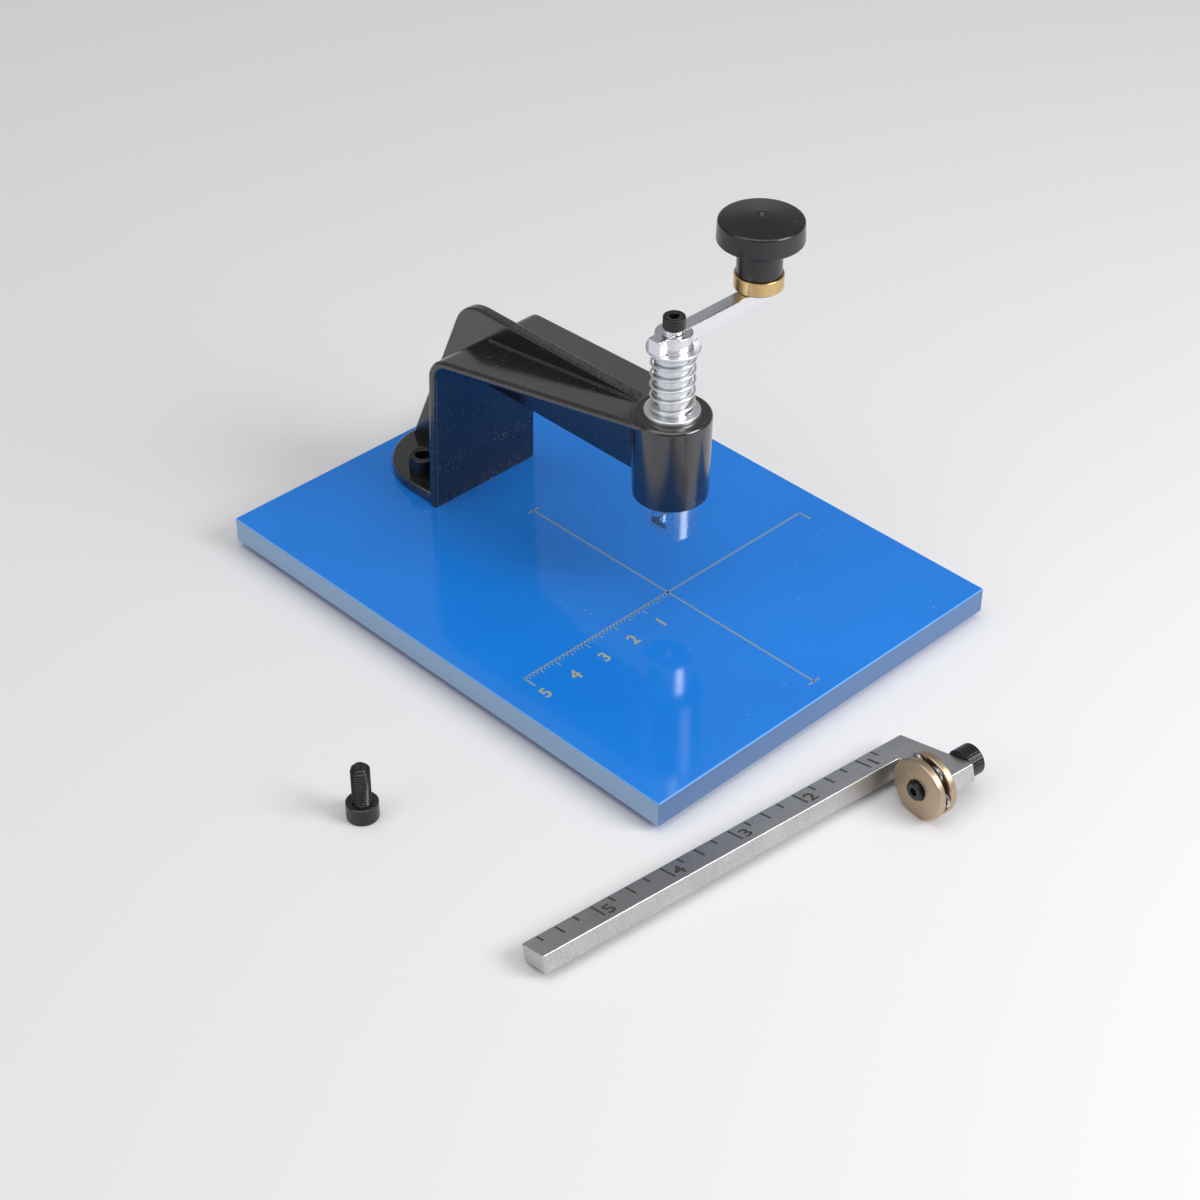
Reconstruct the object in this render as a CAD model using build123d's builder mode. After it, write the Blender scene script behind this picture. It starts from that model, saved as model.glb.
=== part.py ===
# Circle cutter for sheet glass, in millimetres.
# The origin is on the worktop's face, on the spindle's axis, and +Z is up.
import os
from math import asin, atan2, cos, degrees, hypot, pi, radians, sin, sqrt

from build123d import *

# Worktop plate and feet
plate_length = 200.0
plate_width = 150.0
plate_thickness = 9.0
plate_edge_chamfer = 0.3
plate_front_reach = 70.0
foot_radius = 6.0
foot_height = 2.5
foot_inset = 9.0

# Fits
running_gap = 0.05
clearance = 0.3
seat_gap = 0.1
cut_overrun = 1.0

# Bracket: foot pad, leaning post, strap, web and boss
pad_thickness = 4.0
pad_half_width = 22.3
pad_straight_length = 14.6
pad_setback = 5.7
post_lean_run = 1.7
post_lean_rise = 52.0
post_thickness = 3.3
post_root_half_width = 22.4
post_top_half_width = 21.6
strap_height_at_axis = 70.77
strap_height_at_post = 59.15
strap_thickness = 3.0
strap_outer_bend = 8.0
strap_inner_bend = 4.8
strap_edge_round = 1.0
web_thickness = 4.0
web_foot_setback = 0.5
web_peak_overhang = 7.0
web_peak_round = 8.5
web_top_z = 69.5
web_lower_z = 41.7
boss_bottom_z = 39.85
boss_top_z = 69.8
boss_bottom_radius = 12.15
boss_top_radius = 12.7
boss_rim_chamfer = 1.2
boss_lower_chamfer = 0.4
boss_inset = 0.3
bush_seat_z = 59.0

# Bracket screws and nuts
lug_setback = 1.5
lug_y = 13.8
m6_radius = 3.0
m6_head_radius = 5.0
m6_head_height = 6.0
m6_socket_flats = 5.0
m6_socket_depth = 3.0
nut_flats = 10.0
nut_thickness = 5.0
nut_pocket_depth = 5.6
lug_screw_length = 12.4

# Spindle
barrel_radius = 8.4
barrel_bottom_z = 26.05
barrel_top_z = 58.7
barrel_chamfer = 0.5
barrel_flat_y = 4.9
barrel_flat_top_z = 40.8
window_width = 6.3
window_bottom_z = 28.95
window_height = 10.8
rod_radius = 5.9
rod_top_setback = 0.3
rod_chamfer = 0.4

# Upper bush, spring and washer
bush_sleeve_radius = 7.0
bush_flange_radius = 8.9
bush_flange_height = 1.4
bush_bevel = 0.5
washer_radius = 8.5
washer_thickness = 1.0
washer_bottom_z = 92.6
spring_outer_radius = 7.2
wire_radius = 0.42
wire_sides = 6
spring_closed_pitch = 1.3
spring_closed_quarters = 3
spring_quarters = 25

# Crank
bar_width = 5.0
bar_height = 5.4
bar_back_reach = 8.7
bar_front_reach = 45.3
bar_edge = 0.4
crank_reach = 37.3
m4_radius = 2.0
m4_head_radius = 3.5
m4_head_height = 4.0
m4_socket_flats = 3.0
m4_socket_depth = 2.0
crank_screw_length = 15.0
lock_washer_radius = 3.5
lock_washer_height = 1.0
lock_washer_slit = 0.7

# Knob
collar_radius = 7.87
collar_height = 5.0
collar_edge = 0.5
spigot_radius = 5.0
spigot_height = 3.9
axle_shoulder_radius = 3.0
axle_thread_radius = 1.5
axle_head_radius = 4.0
axle_head_height = 2.5
knob_stem_radius = 7.2
knob_stem_height = 10.9
knob_disc_lower_radius = 13.8
knob_disc_upper_radius = 13.5
knob_disc_height = 7.5
knob_rim_chamfer = 0.8
knob_lower_chamfer = 0.6
knob_neck_chamfer = 1.0
knob_crown_height = 1.3
knob_dimple_radius = 1.6
knob_dimple_depth = 0.8

# Arm, lying on the table beside the plate
arm_thickness = 6.0
arm_width = 10.5
arm_length = 145.0
arm_leg_width = 10.5
arm_leg_length = 31.5
arm_edge = 0.3
arm_free_end_x = 81.0
arm_free_end_y = -139.0
arm_yaw = 6.0

# Turret of six cutting wheels
turret_radius = 10.0
turret_depth = 25.0
disc_thickness = 2.6
disc_edge = 0.5
groove_width = 1.8
hub_radius = 4.8
sleeve_radius = 2.9
sleeve_head_radius = 3.1
sleeve_head_height = 2.2
sleeve_head_proud = 1.4
sleeve_socket_flats = 2.5
sleeve_socket_depth = 1.2
sleeve_thread_depth = 5.6
turret_screw_reach = 5.0
wheel_count = 6
wheel_radius = 2.6
wheel_thickness = 1.1
wheel_pitch_radius = 8.0
pin_radius = 0.7
pin_embed = 1.6

# Loose clamp screw, standing on its head
clamp_x = 3.3
clamp_y = -132.3
clamp_length = 13.5
clamp_tip_chamfer = 1.2

# Derived places
floor_z = -plate_thickness - foot_height
plate_centre_x = plate_front_reach - plate_length / 2
pad_end_x = plate_front_reach - plate_length + pad_setback
pad_round_x = pad_end_x + pad_half_width
post_inner_x = pad_round_x + pad_straight_length
post_outer_x = post_inner_x - post_thickness
web_foot_x = pad_end_x + web_foot_setback
web_peak_x = post_inner_x - web_peak_overhang
lug_x = pad_round_x - lug_setback
strap_slope = (strap_height_at_post - strap_height_at_axis) / post_inner_x
foot_span_x = plate_length - 2 * foot_inset
foot_span_y = plate_width - 2 * foot_inset
lug_places = [(lug_x, lug_y), (lug_x, -lug_y)]
bush_top_z = boss_top_z + bush_flange_height
washer_top_z = washer_bottom_z + washer_thickness
bar_top_z = washer_top_z + bar_height
rod_top_z = bar_top_z - rod_top_setback
lock_washer_top_z = bar_top_z + lock_washer_height
collar_bottom_z = bar_top_z + seat_gap
collar_top_z = collar_bottom_z + collar_height
spigot_top_z = collar_top_z + spigot_height
axle_head_z = spigot_top_z + seat_gap
knob_disc_z = collar_top_z + knob_stem_height
knob_top_z = knob_disc_z + knob_disc_height
knob_crown_z = knob_top_z + knob_crown_height
knob_cavity_top_z = axle_head_z + axle_head_height + clearance
full_turn = 360.0

os.makedirs("parts", exist_ok=True)


def strap_top(x):
    """Height of the strap's upper face at a distance along the arm."""
    return strap_height_at_axis + strap_slope * x


def post_x(face_x, z):
    """Place of a post face at a height, with its lean."""
    return face_x + post_lean_run * z / post_lean_rise


# The worktop: a thick plate with holes and hexagon pockets for the bracket's screws
with BuildPart() as base_plate:
    with BuildSketch(Plane.XY.offset(-plate_thickness)):
        with Locations((plate_centre_x, 0)):
            Rectangle(plate_length, plate_width)
    extrude(amount=plate_thickness)
    chamfer(base_plate.edges(), plate_edge_chamfer)
    with BuildSketch(Plane.XY.offset(-plate_thickness)):
        with Locations(*lug_places):
            Circle(m6_radius + clearance)
    extrude(amount=plate_thickness, mode=Mode.SUBTRACT)
    with BuildSketch(Plane.XY.offset(-plate_thickness)):
        with Locations(*lug_places):
            RegularPolygon(nut_flats / 2 + clearance, 6, major_radius=False)
    extrude(amount=nut_pocket_depth, mode=Mode.SUBTRACT)
base_plate.part.label = "base_plate"
export_step(base_plate.part, "parts/base_plate.step")

# Four round feet under the corners
with BuildPart() as rubber_feet:
    with BuildSketch(Plane.XY.offset(floor_z)):
        with Locations((plate_centre_x, 0)):
            with GridLocations(foot_span_x, foot_span_y, 2, 2):
                Circle(foot_radius)
    extrude(amount=foot_height)
rubber_feet.part.label = "rubber_feet"
export_step(rubber_feet.part, "parts/rubber_feet.step")

# The bracket: a post and strap bent as one plate, a web through both, a pad and a boss
strap_root_x = post_x(post_inner_x, strap_top(post_inner_x))
outer_corner = (post_x(post_outer_x, strap_top(post_outer_x)), strap_top(post_outer_x))
inner_corner = (strap_root_x, strap_top(strap_root_x) - strap_thickness)
strap_tangent_radius = boss_top_radius - boss_inset
strap_distance = hypot(post_inner_x, post_root_half_width)
strap_angle = atan2(post_root_half_width, -post_inner_x) - asin(strap_tangent_radius / strap_distance)
tangent_point = (strap_tangent_radius * sin(strap_angle), strap_tangent_radius * cos(strap_angle))
web_peak = (web_peak_x, web_top_z)
with BuildPart() as bracket:
    with BuildSketch(Plane.XZ) as bent_plate:
        with BuildLine():
            Polyline(
                (post_outer_x, 0),
                outer_corner,
                (0, strap_top(0)),
                (0, strap_top(0) - strap_thickness),
                inner_corner,
                (post_inner_x, 0),
                close=True,
            )
        make_face()
        fillet(bent_plate.vertices().sort_by_distance(outer_corner)[0], strap_outer_bend)
        fillet(bent_plate.vertices().sort_by_distance(inner_corner)[0], strap_inner_bend)
    extrude(amount=post_root_half_width, both=True)
    with BuildSketch(Plane.XY):
        with BuildLine():
            Polyline(
                (post_outer_x, -post_root_half_width),
                (post_inner_x, -post_root_half_width),
                (tangent_point[0], -tangent_point[1]),
                tangent_point,
                (post_inner_x, post_root_half_width),
                (post_outer_x, post_root_half_width),
                close=True,
            )
        make_face()
    extrude(amount=boss_top_z, mode=Mode.INTERSECT)
    with BuildSketch(Plane.YZ):
        with BuildLine():
            Polyline(
                (-post_root_half_width, 0),
                (post_root_half_width, 0),
                (post_top_half_width, boss_top_z),
                (-post_top_half_width, boss_top_z),
                close=True,
            )
        make_face()
    extrude(amount=-post_outer_x, both=True, mode=Mode.INTERSECT)
    plate_edges = bracket.edges().filter_by(
        lambda edge: abs(edge.center().Y) > boss_bottom_radius and edge.center().Z > pad_thickness
    )
    fillet(plate_edges, strap_edge_round)
    with BuildSketch(Plane.XZ) as web_outline:
        with BuildLine():
            Polyline(
                (web_foot_x, pad_thickness / 2),
                web_peak,
                (0, web_top_z),
                (0, web_lower_z),
                (post_x(post_inner_x, web_lower_z) - post_thickness / 2, web_lower_z),
                (post_inner_x - post_thickness / 2, pad_thickness / 2),
                close=True,
            )
        make_face()
        fillet(web_outline.vertices().sort_by_distance(web_peak)[0], web_peak_round)
    extrude(amount=web_thickness / 2, both=True)
    with BuildSketch(Plane.XY):
        with BuildLine():
            Polyline(
                (pad_round_x, -pad_half_width),
                (post_inner_x, -pad_half_width),
                (post_inner_x, pad_half_width),
                (pad_round_x, pad_half_width),
            )
            RadiusArc((pad_round_x, pad_half_width), (pad_round_x, -pad_half_width), -pad_half_width)
        make_face()
    extrude(amount=pad_thickness)
    with BuildSketch(Plane.XZ) as boss_profile:
        with BuildLine():
            Polyline(
                (0, boss_bottom_z),
                (boss_bottom_radius, boss_bottom_z),
                (boss_top_radius, boss_top_z),
                (0, boss_top_z),
                close=True,
            )
        make_face()
        chamfer(
            boss_profile.vertices().sort_by_distance((boss_top_radius, boss_top_z))[0],
            boss_rim_chamfer,
        )
        chamfer(
            boss_profile.vertices().sort_by_distance((boss_bottom_radius, boss_bottom_z))[0],
            boss_lower_chamfer,
        )
    revolve(axis=Axis.Z)
    with BuildSketch(Plane.XY.offset(boss_bottom_z)):
        Circle(barrel_radius + running_gap)
    extrude(amount=bush_seat_z - boss_bottom_z, mode=Mode.SUBTRACT)
    with BuildSketch(Plane.XY.offset(bush_seat_z)):
        Circle(bush_sleeve_radius + running_gap)
    extrude(amount=boss_top_z - bush_seat_z + cut_overrun, mode=Mode.SUBTRACT)
    with BuildSketch(Plane.XY):
        with Locations(*lug_places):
            Circle(m6_radius + clearance)
    extrude(amount=pad_thickness, mode=Mode.SUBTRACT)
bracket.part.label = "bracket"
export_step(bracket.part, "parts/bracket.step")

# Two cap screws through the pad and the plate
with BuildPart() as bracket_screws:
    with BuildSketch(Plane.XY.offset(pad_thickness)):
        with Locations(*lug_places):
            Circle(m6_head_radius)
    extrude(amount=m6_head_height)
    with BuildSketch(Plane.XY.offset(pad_thickness + m6_head_height)):
        with Locations(*lug_places):
            RegularPolygon(m6_socket_flats / 2, 6, major_radius=False)
    extrude(amount=-m6_socket_depth, mode=Mode.SUBTRACT)
    with BuildSketch(Plane.XY.offset(pad_thickness)):
        with Locations(*lug_places):
            Circle(m6_radius)
    extrude(amount=-lug_screw_length)
bracket_screws.part.label = "bracket_screws"
export_step(bracket_screws.part, "parts/bracket_screws.step")

# Two nuts in the pockets under the plate
with BuildPart() as bracket_nuts:
    with BuildSketch(Plane.XY.offset(nut_pocket_depth - plate_thickness)):
        with Locations(*lug_places):
            RegularPolygon(nut_flats / 2, 6, major_radius=False)
            Circle(m6_radius + running_gap, mode=Mode.SUBTRACT)
    extrude(amount=-nut_thickness)
bracket_nuts.part.label = "bracket_nuts"
export_step(bracket_nuts.part, "parts/bracket_nuts.step")

# The flanged bush that guides the rod and seats the spring
with BuildPart() as boss_bush:
    with BuildSketch(Plane.XY.offset(bush_seat_z)):
        Circle(bush_sleeve_radius)
    extrude(amount=boss_top_z - bush_seat_z)
    with BuildSketch(Plane.XY.offset(boss_top_z)):
        Circle(bush_flange_radius)
    extrude(amount=bush_flange_height)
    chamfer(boss_bush.edges().group_by(Axis.Z)[-1], bush_bevel)
    with BuildSketch(Plane.XY.offset(bush_seat_z)):
        Circle(rod_radius + running_gap)
    extrude(amount=bush_top_z - bush_seat_z, mode=Mode.SUBTRACT)
boss_bush.part.label = "boss_bush"
export_step(boss_bush.part, "parts/boss_bush.step")

# The spindle: a barrel with a flat, a window for the arm and a clamp hole, and a rod above
rod_flat_height = barrel_flat_top_z - barrel_bottom_z
with BuildPart() as spindle_shaft:
    with BuildSketch(Plane.XY.offset(barrel_bottom_z)):
        Circle(barrel_radius)
    extrude(amount=barrel_top_z - barrel_bottom_z)
    chamfer(spindle_shaft.edges().group_by(Axis.Z)[0], barrel_chamfer)
    chamfer(spindle_shaft.edges().group_by(Axis.Z)[-1], barrel_chamfer)
    with BuildSketch(Plane.XY.offset(barrel_top_z)):
        Circle(rod_radius)
    extrude(amount=rod_top_z - barrel_top_z)
    chamfer(spindle_shaft.edges().group_by(Axis.Z)[-1], rod_chamfer)
    with BuildSketch(Plane.XY.offset(barrel_bottom_z)):
        with Locations((0, -barrel_flat_y)):
            Rectangle(2 * barrel_radius, barrel_radius, align=(Align.CENTER, Align.MAX))
    extrude(amount=rod_flat_height, mode=Mode.SUBTRACT)
    with BuildSketch(Plane.XZ):
        with Locations((0, window_bottom_z)):
            Rectangle(window_width, window_height, align=(Align.CENTER, Align.MIN))
    extrude(amount=barrel_radius, both=True, mode=Mode.SUBTRACT)
    with BuildSketch(Plane.XY.offset(barrel_bottom_z)):
        Circle(m6_radius)
    extrude(amount=window_bottom_z - barrel_bottom_z, mode=Mode.SUBTRACT)
    with BuildSketch(Plane.XY.offset(washer_top_z)):
        Rectangle(bar_width + 2 * running_gap, 2 * rod_radius)
    extrude(amount=rod_top_z - washer_top_z, mode=Mode.SUBTRACT)
    with BuildSketch(Plane.XY.offset(washer_top_z)):
        Circle(m4_radius)
    extrude(amount=-crank_screw_length + bar_height, mode=Mode.SUBTRACT)
spindle_shaft.part.label = "spindle_shaft"
export_step(spindle_shaft.part, "parts/spindle_shaft.step")

# The return spring: one wound wire with closer end turns
coil_radius = spring_outer_radius - wire_radius
coil_start_z = bush_top_z + wire_radius + running_gap
coil_end_z = washer_bottom_z - wire_radius - running_gap
open_quarters = spring_quarters - 2 * spring_closed_quarters
closed_rise = spring_closed_pitch / 4
open_rise = (coil_end_z - coil_start_z - 2 * spring_closed_quarters * closed_rise) / open_quarters
quarter_rises = (
    [closed_rise] * spring_closed_quarters
    + [open_rise] * open_quarters
    + [closed_rise] * spring_closed_quarters
)
quarter_heights = [coil_start_z + sum(quarter_rises[:index]) for index in range(spring_quarters + 1)]
node_rises = (
    quarter_rises[:1]
    + [(before + after) / 2 for before, after in zip(quarter_rises, quarter_rises[1:])]
    + quarter_rises[-1:]
)
quarter_length = coil_radius * pi / 2


def coil_point(index):
    """Centre of the wire at the end of a quarter turn."""
    angle = index * pi / 2
    return Vector(coil_radius * cos(angle), coil_radius * sin(angle), quarter_heights[index])


def coil_direction(index):
    """Unit direction of the wire at the end of a quarter turn."""
    angle = index * pi / 2
    return Vector(
        -quarter_length * sin(angle), quarter_length * cos(angle), node_rises[index]
    ).normalized()


def biarc_joint(start, end, start_direction, end_direction):
    """Point where two arcs that leave one point and reach another along given directions meet."""
    chord = end - start
    both = start_direction + end_direction
    spread = 2 * (1 - start_direction.dot(end_direction))
    along = chord.dot(both)
    reach = (sqrt(along**2 + spread * chord.dot(chord)) - along) / spread
    return (start + start_direction * reach + end - end_direction * reach) / 2


def turned(direction, chord):
    """Direction at the far end of an arc that starts along a direction and spans a chord."""
    unit = chord.normalized()
    return unit * (2 * direction.dot(unit)) - direction


with BuildPart() as return_spring:
    with BuildLine() as coil_path:
        for index in range(spring_quarters):
            coil_from, coil_to = coil_point(index), coil_point(index + 1)
            leaving, reaching = coil_direction(index), coil_direction(index + 1)
            joint_point = biarc_joint(coil_from, coil_to, leaving, reaching)
            TangentArc(coil_from, joint_point, tangent=leaving)
            TangentArc(joint_point, coil_to, tangent=turned(leaving, joint_point - coil_from))
    with BuildSketch(Plane(origin=coil_point(0), z_dir=coil_direction(0))):
        RegularPolygon(wire_radius, wire_sides)
    sweep(path=coil_path.wire())
return_spring.part.label = "return_spring"
export_step(return_spring.part, "parts/return_spring.step")

coil_samples = 12
sample_count = spring_quarters * coil_samples
coil_line = [coil_path.wire().position_at(index / sample_count) for index in range(sample_count + 1)]
coil_gap = min(
    (coil_line[first] - coil_line[second]).length - 2 * wire_radius
    for first in range(sample_count + 1)
    for second in range(first + 2 * coil_samples, sample_count + 1)
)
print("least gap between the spring's turns", round(coil_gap, 3))

# The washer between the spring and the crank bar
with BuildPart() as upper_washer:
    with BuildSketch(Plane.XY.offset(washer_bottom_z)):
        Circle(washer_radius)
        Circle(rod_radius + seat_gap, mode=Mode.SUBTRACT)
    extrude(amount=washer_thickness)
upper_washer.part.label = "upper_washer"
export_step(upper_washer.part, "parts/upper_washer.step")

# The crank bar in the rod's slot
bar_length = bar_back_reach + bar_front_reach
with BuildPart() as crank_bar:
    with BuildSketch(Plane.XY.offset(washer_top_z)):
        with Locations((0, bar_front_reach)):
            Rectangle(bar_width, bar_length, align=(Align.CENTER, Align.MAX))
    extrude(amount=bar_height)
    chamfer(crank_bar.edges(), bar_edge)
    with BuildSketch(Plane.XY.offset(washer_top_z)):
        Circle(m4_radius + running_gap)
        with Locations((0, crank_reach)):
            Circle(axle_thread_radius + running_gap)
    extrude(amount=bar_height, mode=Mode.SUBTRACT)
crank_bar.part.label = "crank_bar"
export_step(crank_bar.part, "parts/crank_bar.step")

# The split washer under the crank's screw
with BuildPart() as crank_lock_washer:
    with BuildSketch(Plane.XY.offset(bar_top_z)):
        Circle(lock_washer_radius)
        Circle(m4_radius + running_gap, mode=Mode.SUBTRACT)
        with Locations((lock_washer_radius, 0)):
            Rectangle(2 * lock_washer_radius, lock_washer_slit, mode=Mode.SUBTRACT)
    extrude(amount=lock_washer_height)
crank_lock_washer.part.label = "crank_lock_washer"
export_step(crank_lock_washer.part, "parts/crank_lock_washer.step")

# The cap screw that holds the bar down on the rod
with BuildPart() as crank_screw:
    with BuildSketch(Plane.XY.offset(lock_washer_top_z)):
        Circle(m4_head_radius)
    extrude(amount=m4_head_height)
    with BuildSketch(Plane.XY.offset(lock_washer_top_z + m4_head_height)):
        RegularPolygon(m4_socket_flats / 2, 6, major_radius=False)
    extrude(amount=-m4_socket_depth, mode=Mode.SUBTRACT)
    with BuildSketch(Plane.XY.offset(lock_washer_top_z)):
        Circle(m4_radius - running_gap)
    extrude(amount=-crank_screw_length)
crank_screw.part.label = "crank_screw"
export_step(crank_screw.part, "parts/crank_screw.step")

# The knob's shoulder screw, fixed in the bar
knob_axis = Axis((0, crank_reach, 0), (0, 0, 1))
knob_section = Plane.XZ.offset(-crank_reach)
with BuildPart() as knob_axle:
    with BuildSketch(knob_section):
        with BuildLine():
            Polyline(
                (0, washer_top_z + seat_gap),
                (axle_thread_radius, washer_top_z + seat_gap),
                (axle_thread_radius, bar_top_z),
                (axle_shoulder_radius, bar_top_z),
                (axle_shoulder_radius, axle_head_z),
                (axle_head_radius, axle_head_z),
                (axle_head_radius, axle_head_z + axle_head_height),
                (0, axle_head_z + axle_head_height),
                close=True,
            )
        make_face()
    revolve(axis=knob_axis)
knob_axle.part.label = "knob_axle"
export_step(knob_axle.part, "parts/knob_axle.step")

# The knob's metal collar, with a spigot pressed into the knob
with BuildPart() as knob_bush:
    with BuildSketch(knob_section) as collar_profile:
        with BuildLine():
            Polyline(
                (axle_shoulder_radius + running_gap, collar_bottom_z),
                (collar_radius, collar_bottom_z),
                (collar_radius, collar_top_z),
                (spigot_radius, collar_top_z),
                (spigot_radius, spigot_top_z),
                (axle_shoulder_radius + running_gap, spigot_top_z),
                close=True,
            )
        make_face()
        chamfer(
            collar_profile.vertices().sort_by_distance((collar_radius, collar_bottom_z))[0], collar_edge
        )
        chamfer(collar_profile.vertices().sort_by_distance((collar_radius, collar_top_z))[0], collar_edge)
    revolve(axis=knob_axis)
knob_bush.part.label = "knob_bush"
export_step(knob_bush.part, "parts/knob_bush.step")

# The knob: a stem and a crowned disc with a dimple, over a cavity for the axle's head
knob_cavity_radius = axle_head_radius + clearance
with BuildPart() as knob:
    with BuildSketch(knob_section) as knob_profile:
        with BuildLine():
            Polyline(
                (spigot_radius + running_gap, collar_top_z),
                (knob_stem_radius, collar_top_z),
                (knob_stem_radius, knob_disc_z),
                (knob_disc_lower_radius, knob_disc_z),
                (knob_disc_upper_radius, knob_top_z),
                (knob_dimple_radius, knob_crown_z),
                (0, knob_crown_z - knob_dimple_depth),
                (0, knob_cavity_top_z),
                (knob_cavity_radius, knob_cavity_top_z),
                (knob_cavity_radius, spigot_top_z),
                (spigot_radius + running_gap, spigot_top_z),
                close=True,
            )
        make_face()
        chamfer(
            knob_profile.vertices().sort_by_distance((knob_disc_upper_radius, knob_top_z))[0],
            knob_rim_chamfer,
        )
        chamfer(
            knob_profile.vertices().sort_by_distance((knob_disc_lower_radius, knob_disc_z))[0],
            knob_lower_chamfer,
        )
        chamfer(
            knob_profile.vertices().sort_by_distance((knob_stem_radius, knob_disc_z))[0],
            knob_neck_chamfer,
        )
    revolve(axis=knob_axis)
knob.part.label = "knob"
export_step(knob.part, "parts/knob.step")

# The arm's plane: it rests on its back edge and on the turret's rims
arm_rest_angle = asin(turret_radius / hypot(arm_thickness / 2, turret_depth)) - atan2(
    arm_thickness / 2, turret_depth
)
yaw = radians(arm_yaw)
leg_direction = (cos(arm_rest_angle) * cos(yaw), -cos(arm_rest_angle) * sin(yaw), sin(arm_rest_angle))
arm_normal = (-sin(arm_rest_angle) * cos(yaw), sin(arm_rest_angle) * sin(yaw), cos(arm_rest_angle))
arm_plane = Plane(origin=(arm_free_end_x, arm_free_end_y, floor_z), x_dir=leg_direction, z_dir=arm_normal)
leg_inner = arm_length - arm_leg_width
turret_length = 2 * disc_thickness + groove_width
turret_front = leg_inner - seat_gap - turret_length
turret_plane = Plane(
    origin=arm_plane.from_local_coords((turret_depth, turret_front, arm_thickness / 2)),
    x_dir=arm_plane.x_dir,
    z_dir=arm_plane.y_dir,
)
quarter_turn = full_turn / 4
wheel_step = full_turn / wheel_count
first_wheel_angle = quarter_turn + degrees(arm_rest_angle) + wheel_step / 2
groove_start = disc_thickness
back_start = disc_thickness + groove_width
leg_start = turret_length + seat_gap
sleeve_seat = sleeve_head_height - sleeve_head_proud + seat_gap

# The arm: a straight bar with a short leg, bored for the turret's screw
with BuildPart() as arm_bar:
    with BuildSketch(arm_plane):
        with BuildLine():
            Polyline(
                (0, 0),
                (arm_width, 0),
                (arm_width, leg_inner),
                (arm_leg_length, leg_inner),
                (arm_leg_length, arm_length),
                (0, arm_length),
                close=True,
            )
        make_face()
    extrude(amount=arm_thickness)
    chamfer(arm_bar.edges(), arm_edge)
    with BuildSketch(turret_plane.offset(leg_start)):
        Circle(m4_radius + running_gap)
    extrude(amount=arm_leg_width, mode=Mode.SUBTRACT)
arm_bar.part.label = "arm_bar"
export_step(arm_bar.part, "parts/arm_bar.step")

# The turret's front disc, with a sunk seat for the sleeve's head
with BuildPart() as turret_disc_front:
    with BuildSketch(turret_plane):
        Circle(turret_radius)
    extrude(amount=disc_thickness)
    chamfer(turret_disc_front.edges(), disc_edge)
    with BuildSketch(turret_plane):
        Circle(sleeve_radius + running_gap)
    extrude(amount=disc_thickness, mode=Mode.SUBTRACT)
    with BuildSketch(turret_plane):
        Circle(sleeve_head_radius + clearance)
    extrude(amount=sleeve_seat, mode=Mode.SUBTRACT)
    with BuildSketch(turret_plane.offset(groove_start)):
        with PolarLocations(wheel_pitch_radius, wheel_count, start_angle=first_wheel_angle):
            Circle(pin_radius + running_gap)
    extrude(amount=-pin_embed, mode=Mode.SUBTRACT)
turret_disc_front.part.label = "turret_disc_front"
export_step(turret_disc_front.part, "parts/turret_disc_front.step")

# The turret's back disc, with the hub between the wheels
with BuildPart() as turret_disc_back:
    with BuildSketch(turret_plane.offset(back_start)):
        Circle(turret_radius)
    extrude(amount=disc_thickness)
    chamfer(turret_disc_back.edges(), disc_edge)
    with BuildSketch(turret_plane.offset(back_start)):
        Circle(hub_radius)
    extrude(amount=-groove_width)
    with BuildSketch(turret_plane.offset(groove_start)):
        Circle(sleeve_radius + running_gap)
    extrude(amount=groove_width + disc_thickness, mode=Mode.SUBTRACT)
    with BuildSketch(turret_plane.offset(back_start)):
        with PolarLocations(wheel_pitch_radius, wheel_count, start_angle=first_wheel_angle):
            Circle(pin_radius + running_gap)
    extrude(amount=pin_embed, mode=Mode.SUBTRACT)
turret_disc_back.part.label = "turret_disc_back"
export_step(turret_disc_back.part, "parts/turret_disc_back.step")

# The headed sleeve that the turret turns on
with BuildPart() as turret_sleeve:
    with BuildSketch(turret_plane.offset(-sleeve_head_proud)):
        Circle(sleeve_head_radius)
    extrude(amount=sleeve_head_height)
    with BuildSketch(turret_plane.offset(-sleeve_head_proud)):
        Circle(sleeve_radius)
    extrude(amount=leg_start + sleeve_head_proud)
    with BuildSketch(turret_plane.offset(-sleeve_head_proud)):
        RegularPolygon(sleeve_socket_flats / 2, 6, major_radius=False)
    extrude(amount=sleeve_socket_depth, mode=Mode.SUBTRACT)
    with BuildSketch(turret_plane.offset(leg_start)):
        Circle(m4_radius)
    extrude(amount=-sleeve_thread_depth, mode=Mode.SUBTRACT)
turret_sleeve.part.label = "turret_sleeve"
export_step(turret_sleeve.part, "parts/turret_sleeve.step")

# The cap screw through the leg that holds the sleeve
leg_end = leg_start + arm_leg_width
with BuildPart() as turret_screw:
    with BuildSketch(turret_plane.offset(leg_end)):
        Circle(m6_head_radius)
    extrude(amount=m6_head_height)
    with BuildSketch(turret_plane.offset(leg_end + m6_head_height)):
        RegularPolygon(m6_socket_flats / 2, 6, major_radius=False)
    extrude(amount=-m6_socket_depth, mode=Mode.SUBTRACT)
    with BuildSketch(turret_plane.offset(leg_end)):
        Circle(m4_radius - running_gap)
    extrude(amount=-arm_leg_width - turret_screw_reach)
turret_screw.part.label = "turret_screw"
export_step(turret_screw.part, "parts/turret_screw.step")

# The pins that carry the wheels
with BuildPart() as wheel_pins:
    with BuildSketch(turret_plane.offset(groove_start - pin_embed + seat_gap)):
        with PolarLocations(wheel_pitch_radius, wheel_count, start_angle=first_wheel_angle):
            Circle(pin_radius)
    extrude(amount=groove_width + 2 * (pin_embed - seat_gap))
wheel_pins.part.label = "wheel_pins"
export_step(wheel_pins.part, "parts/wheel_pins.step")

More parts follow.
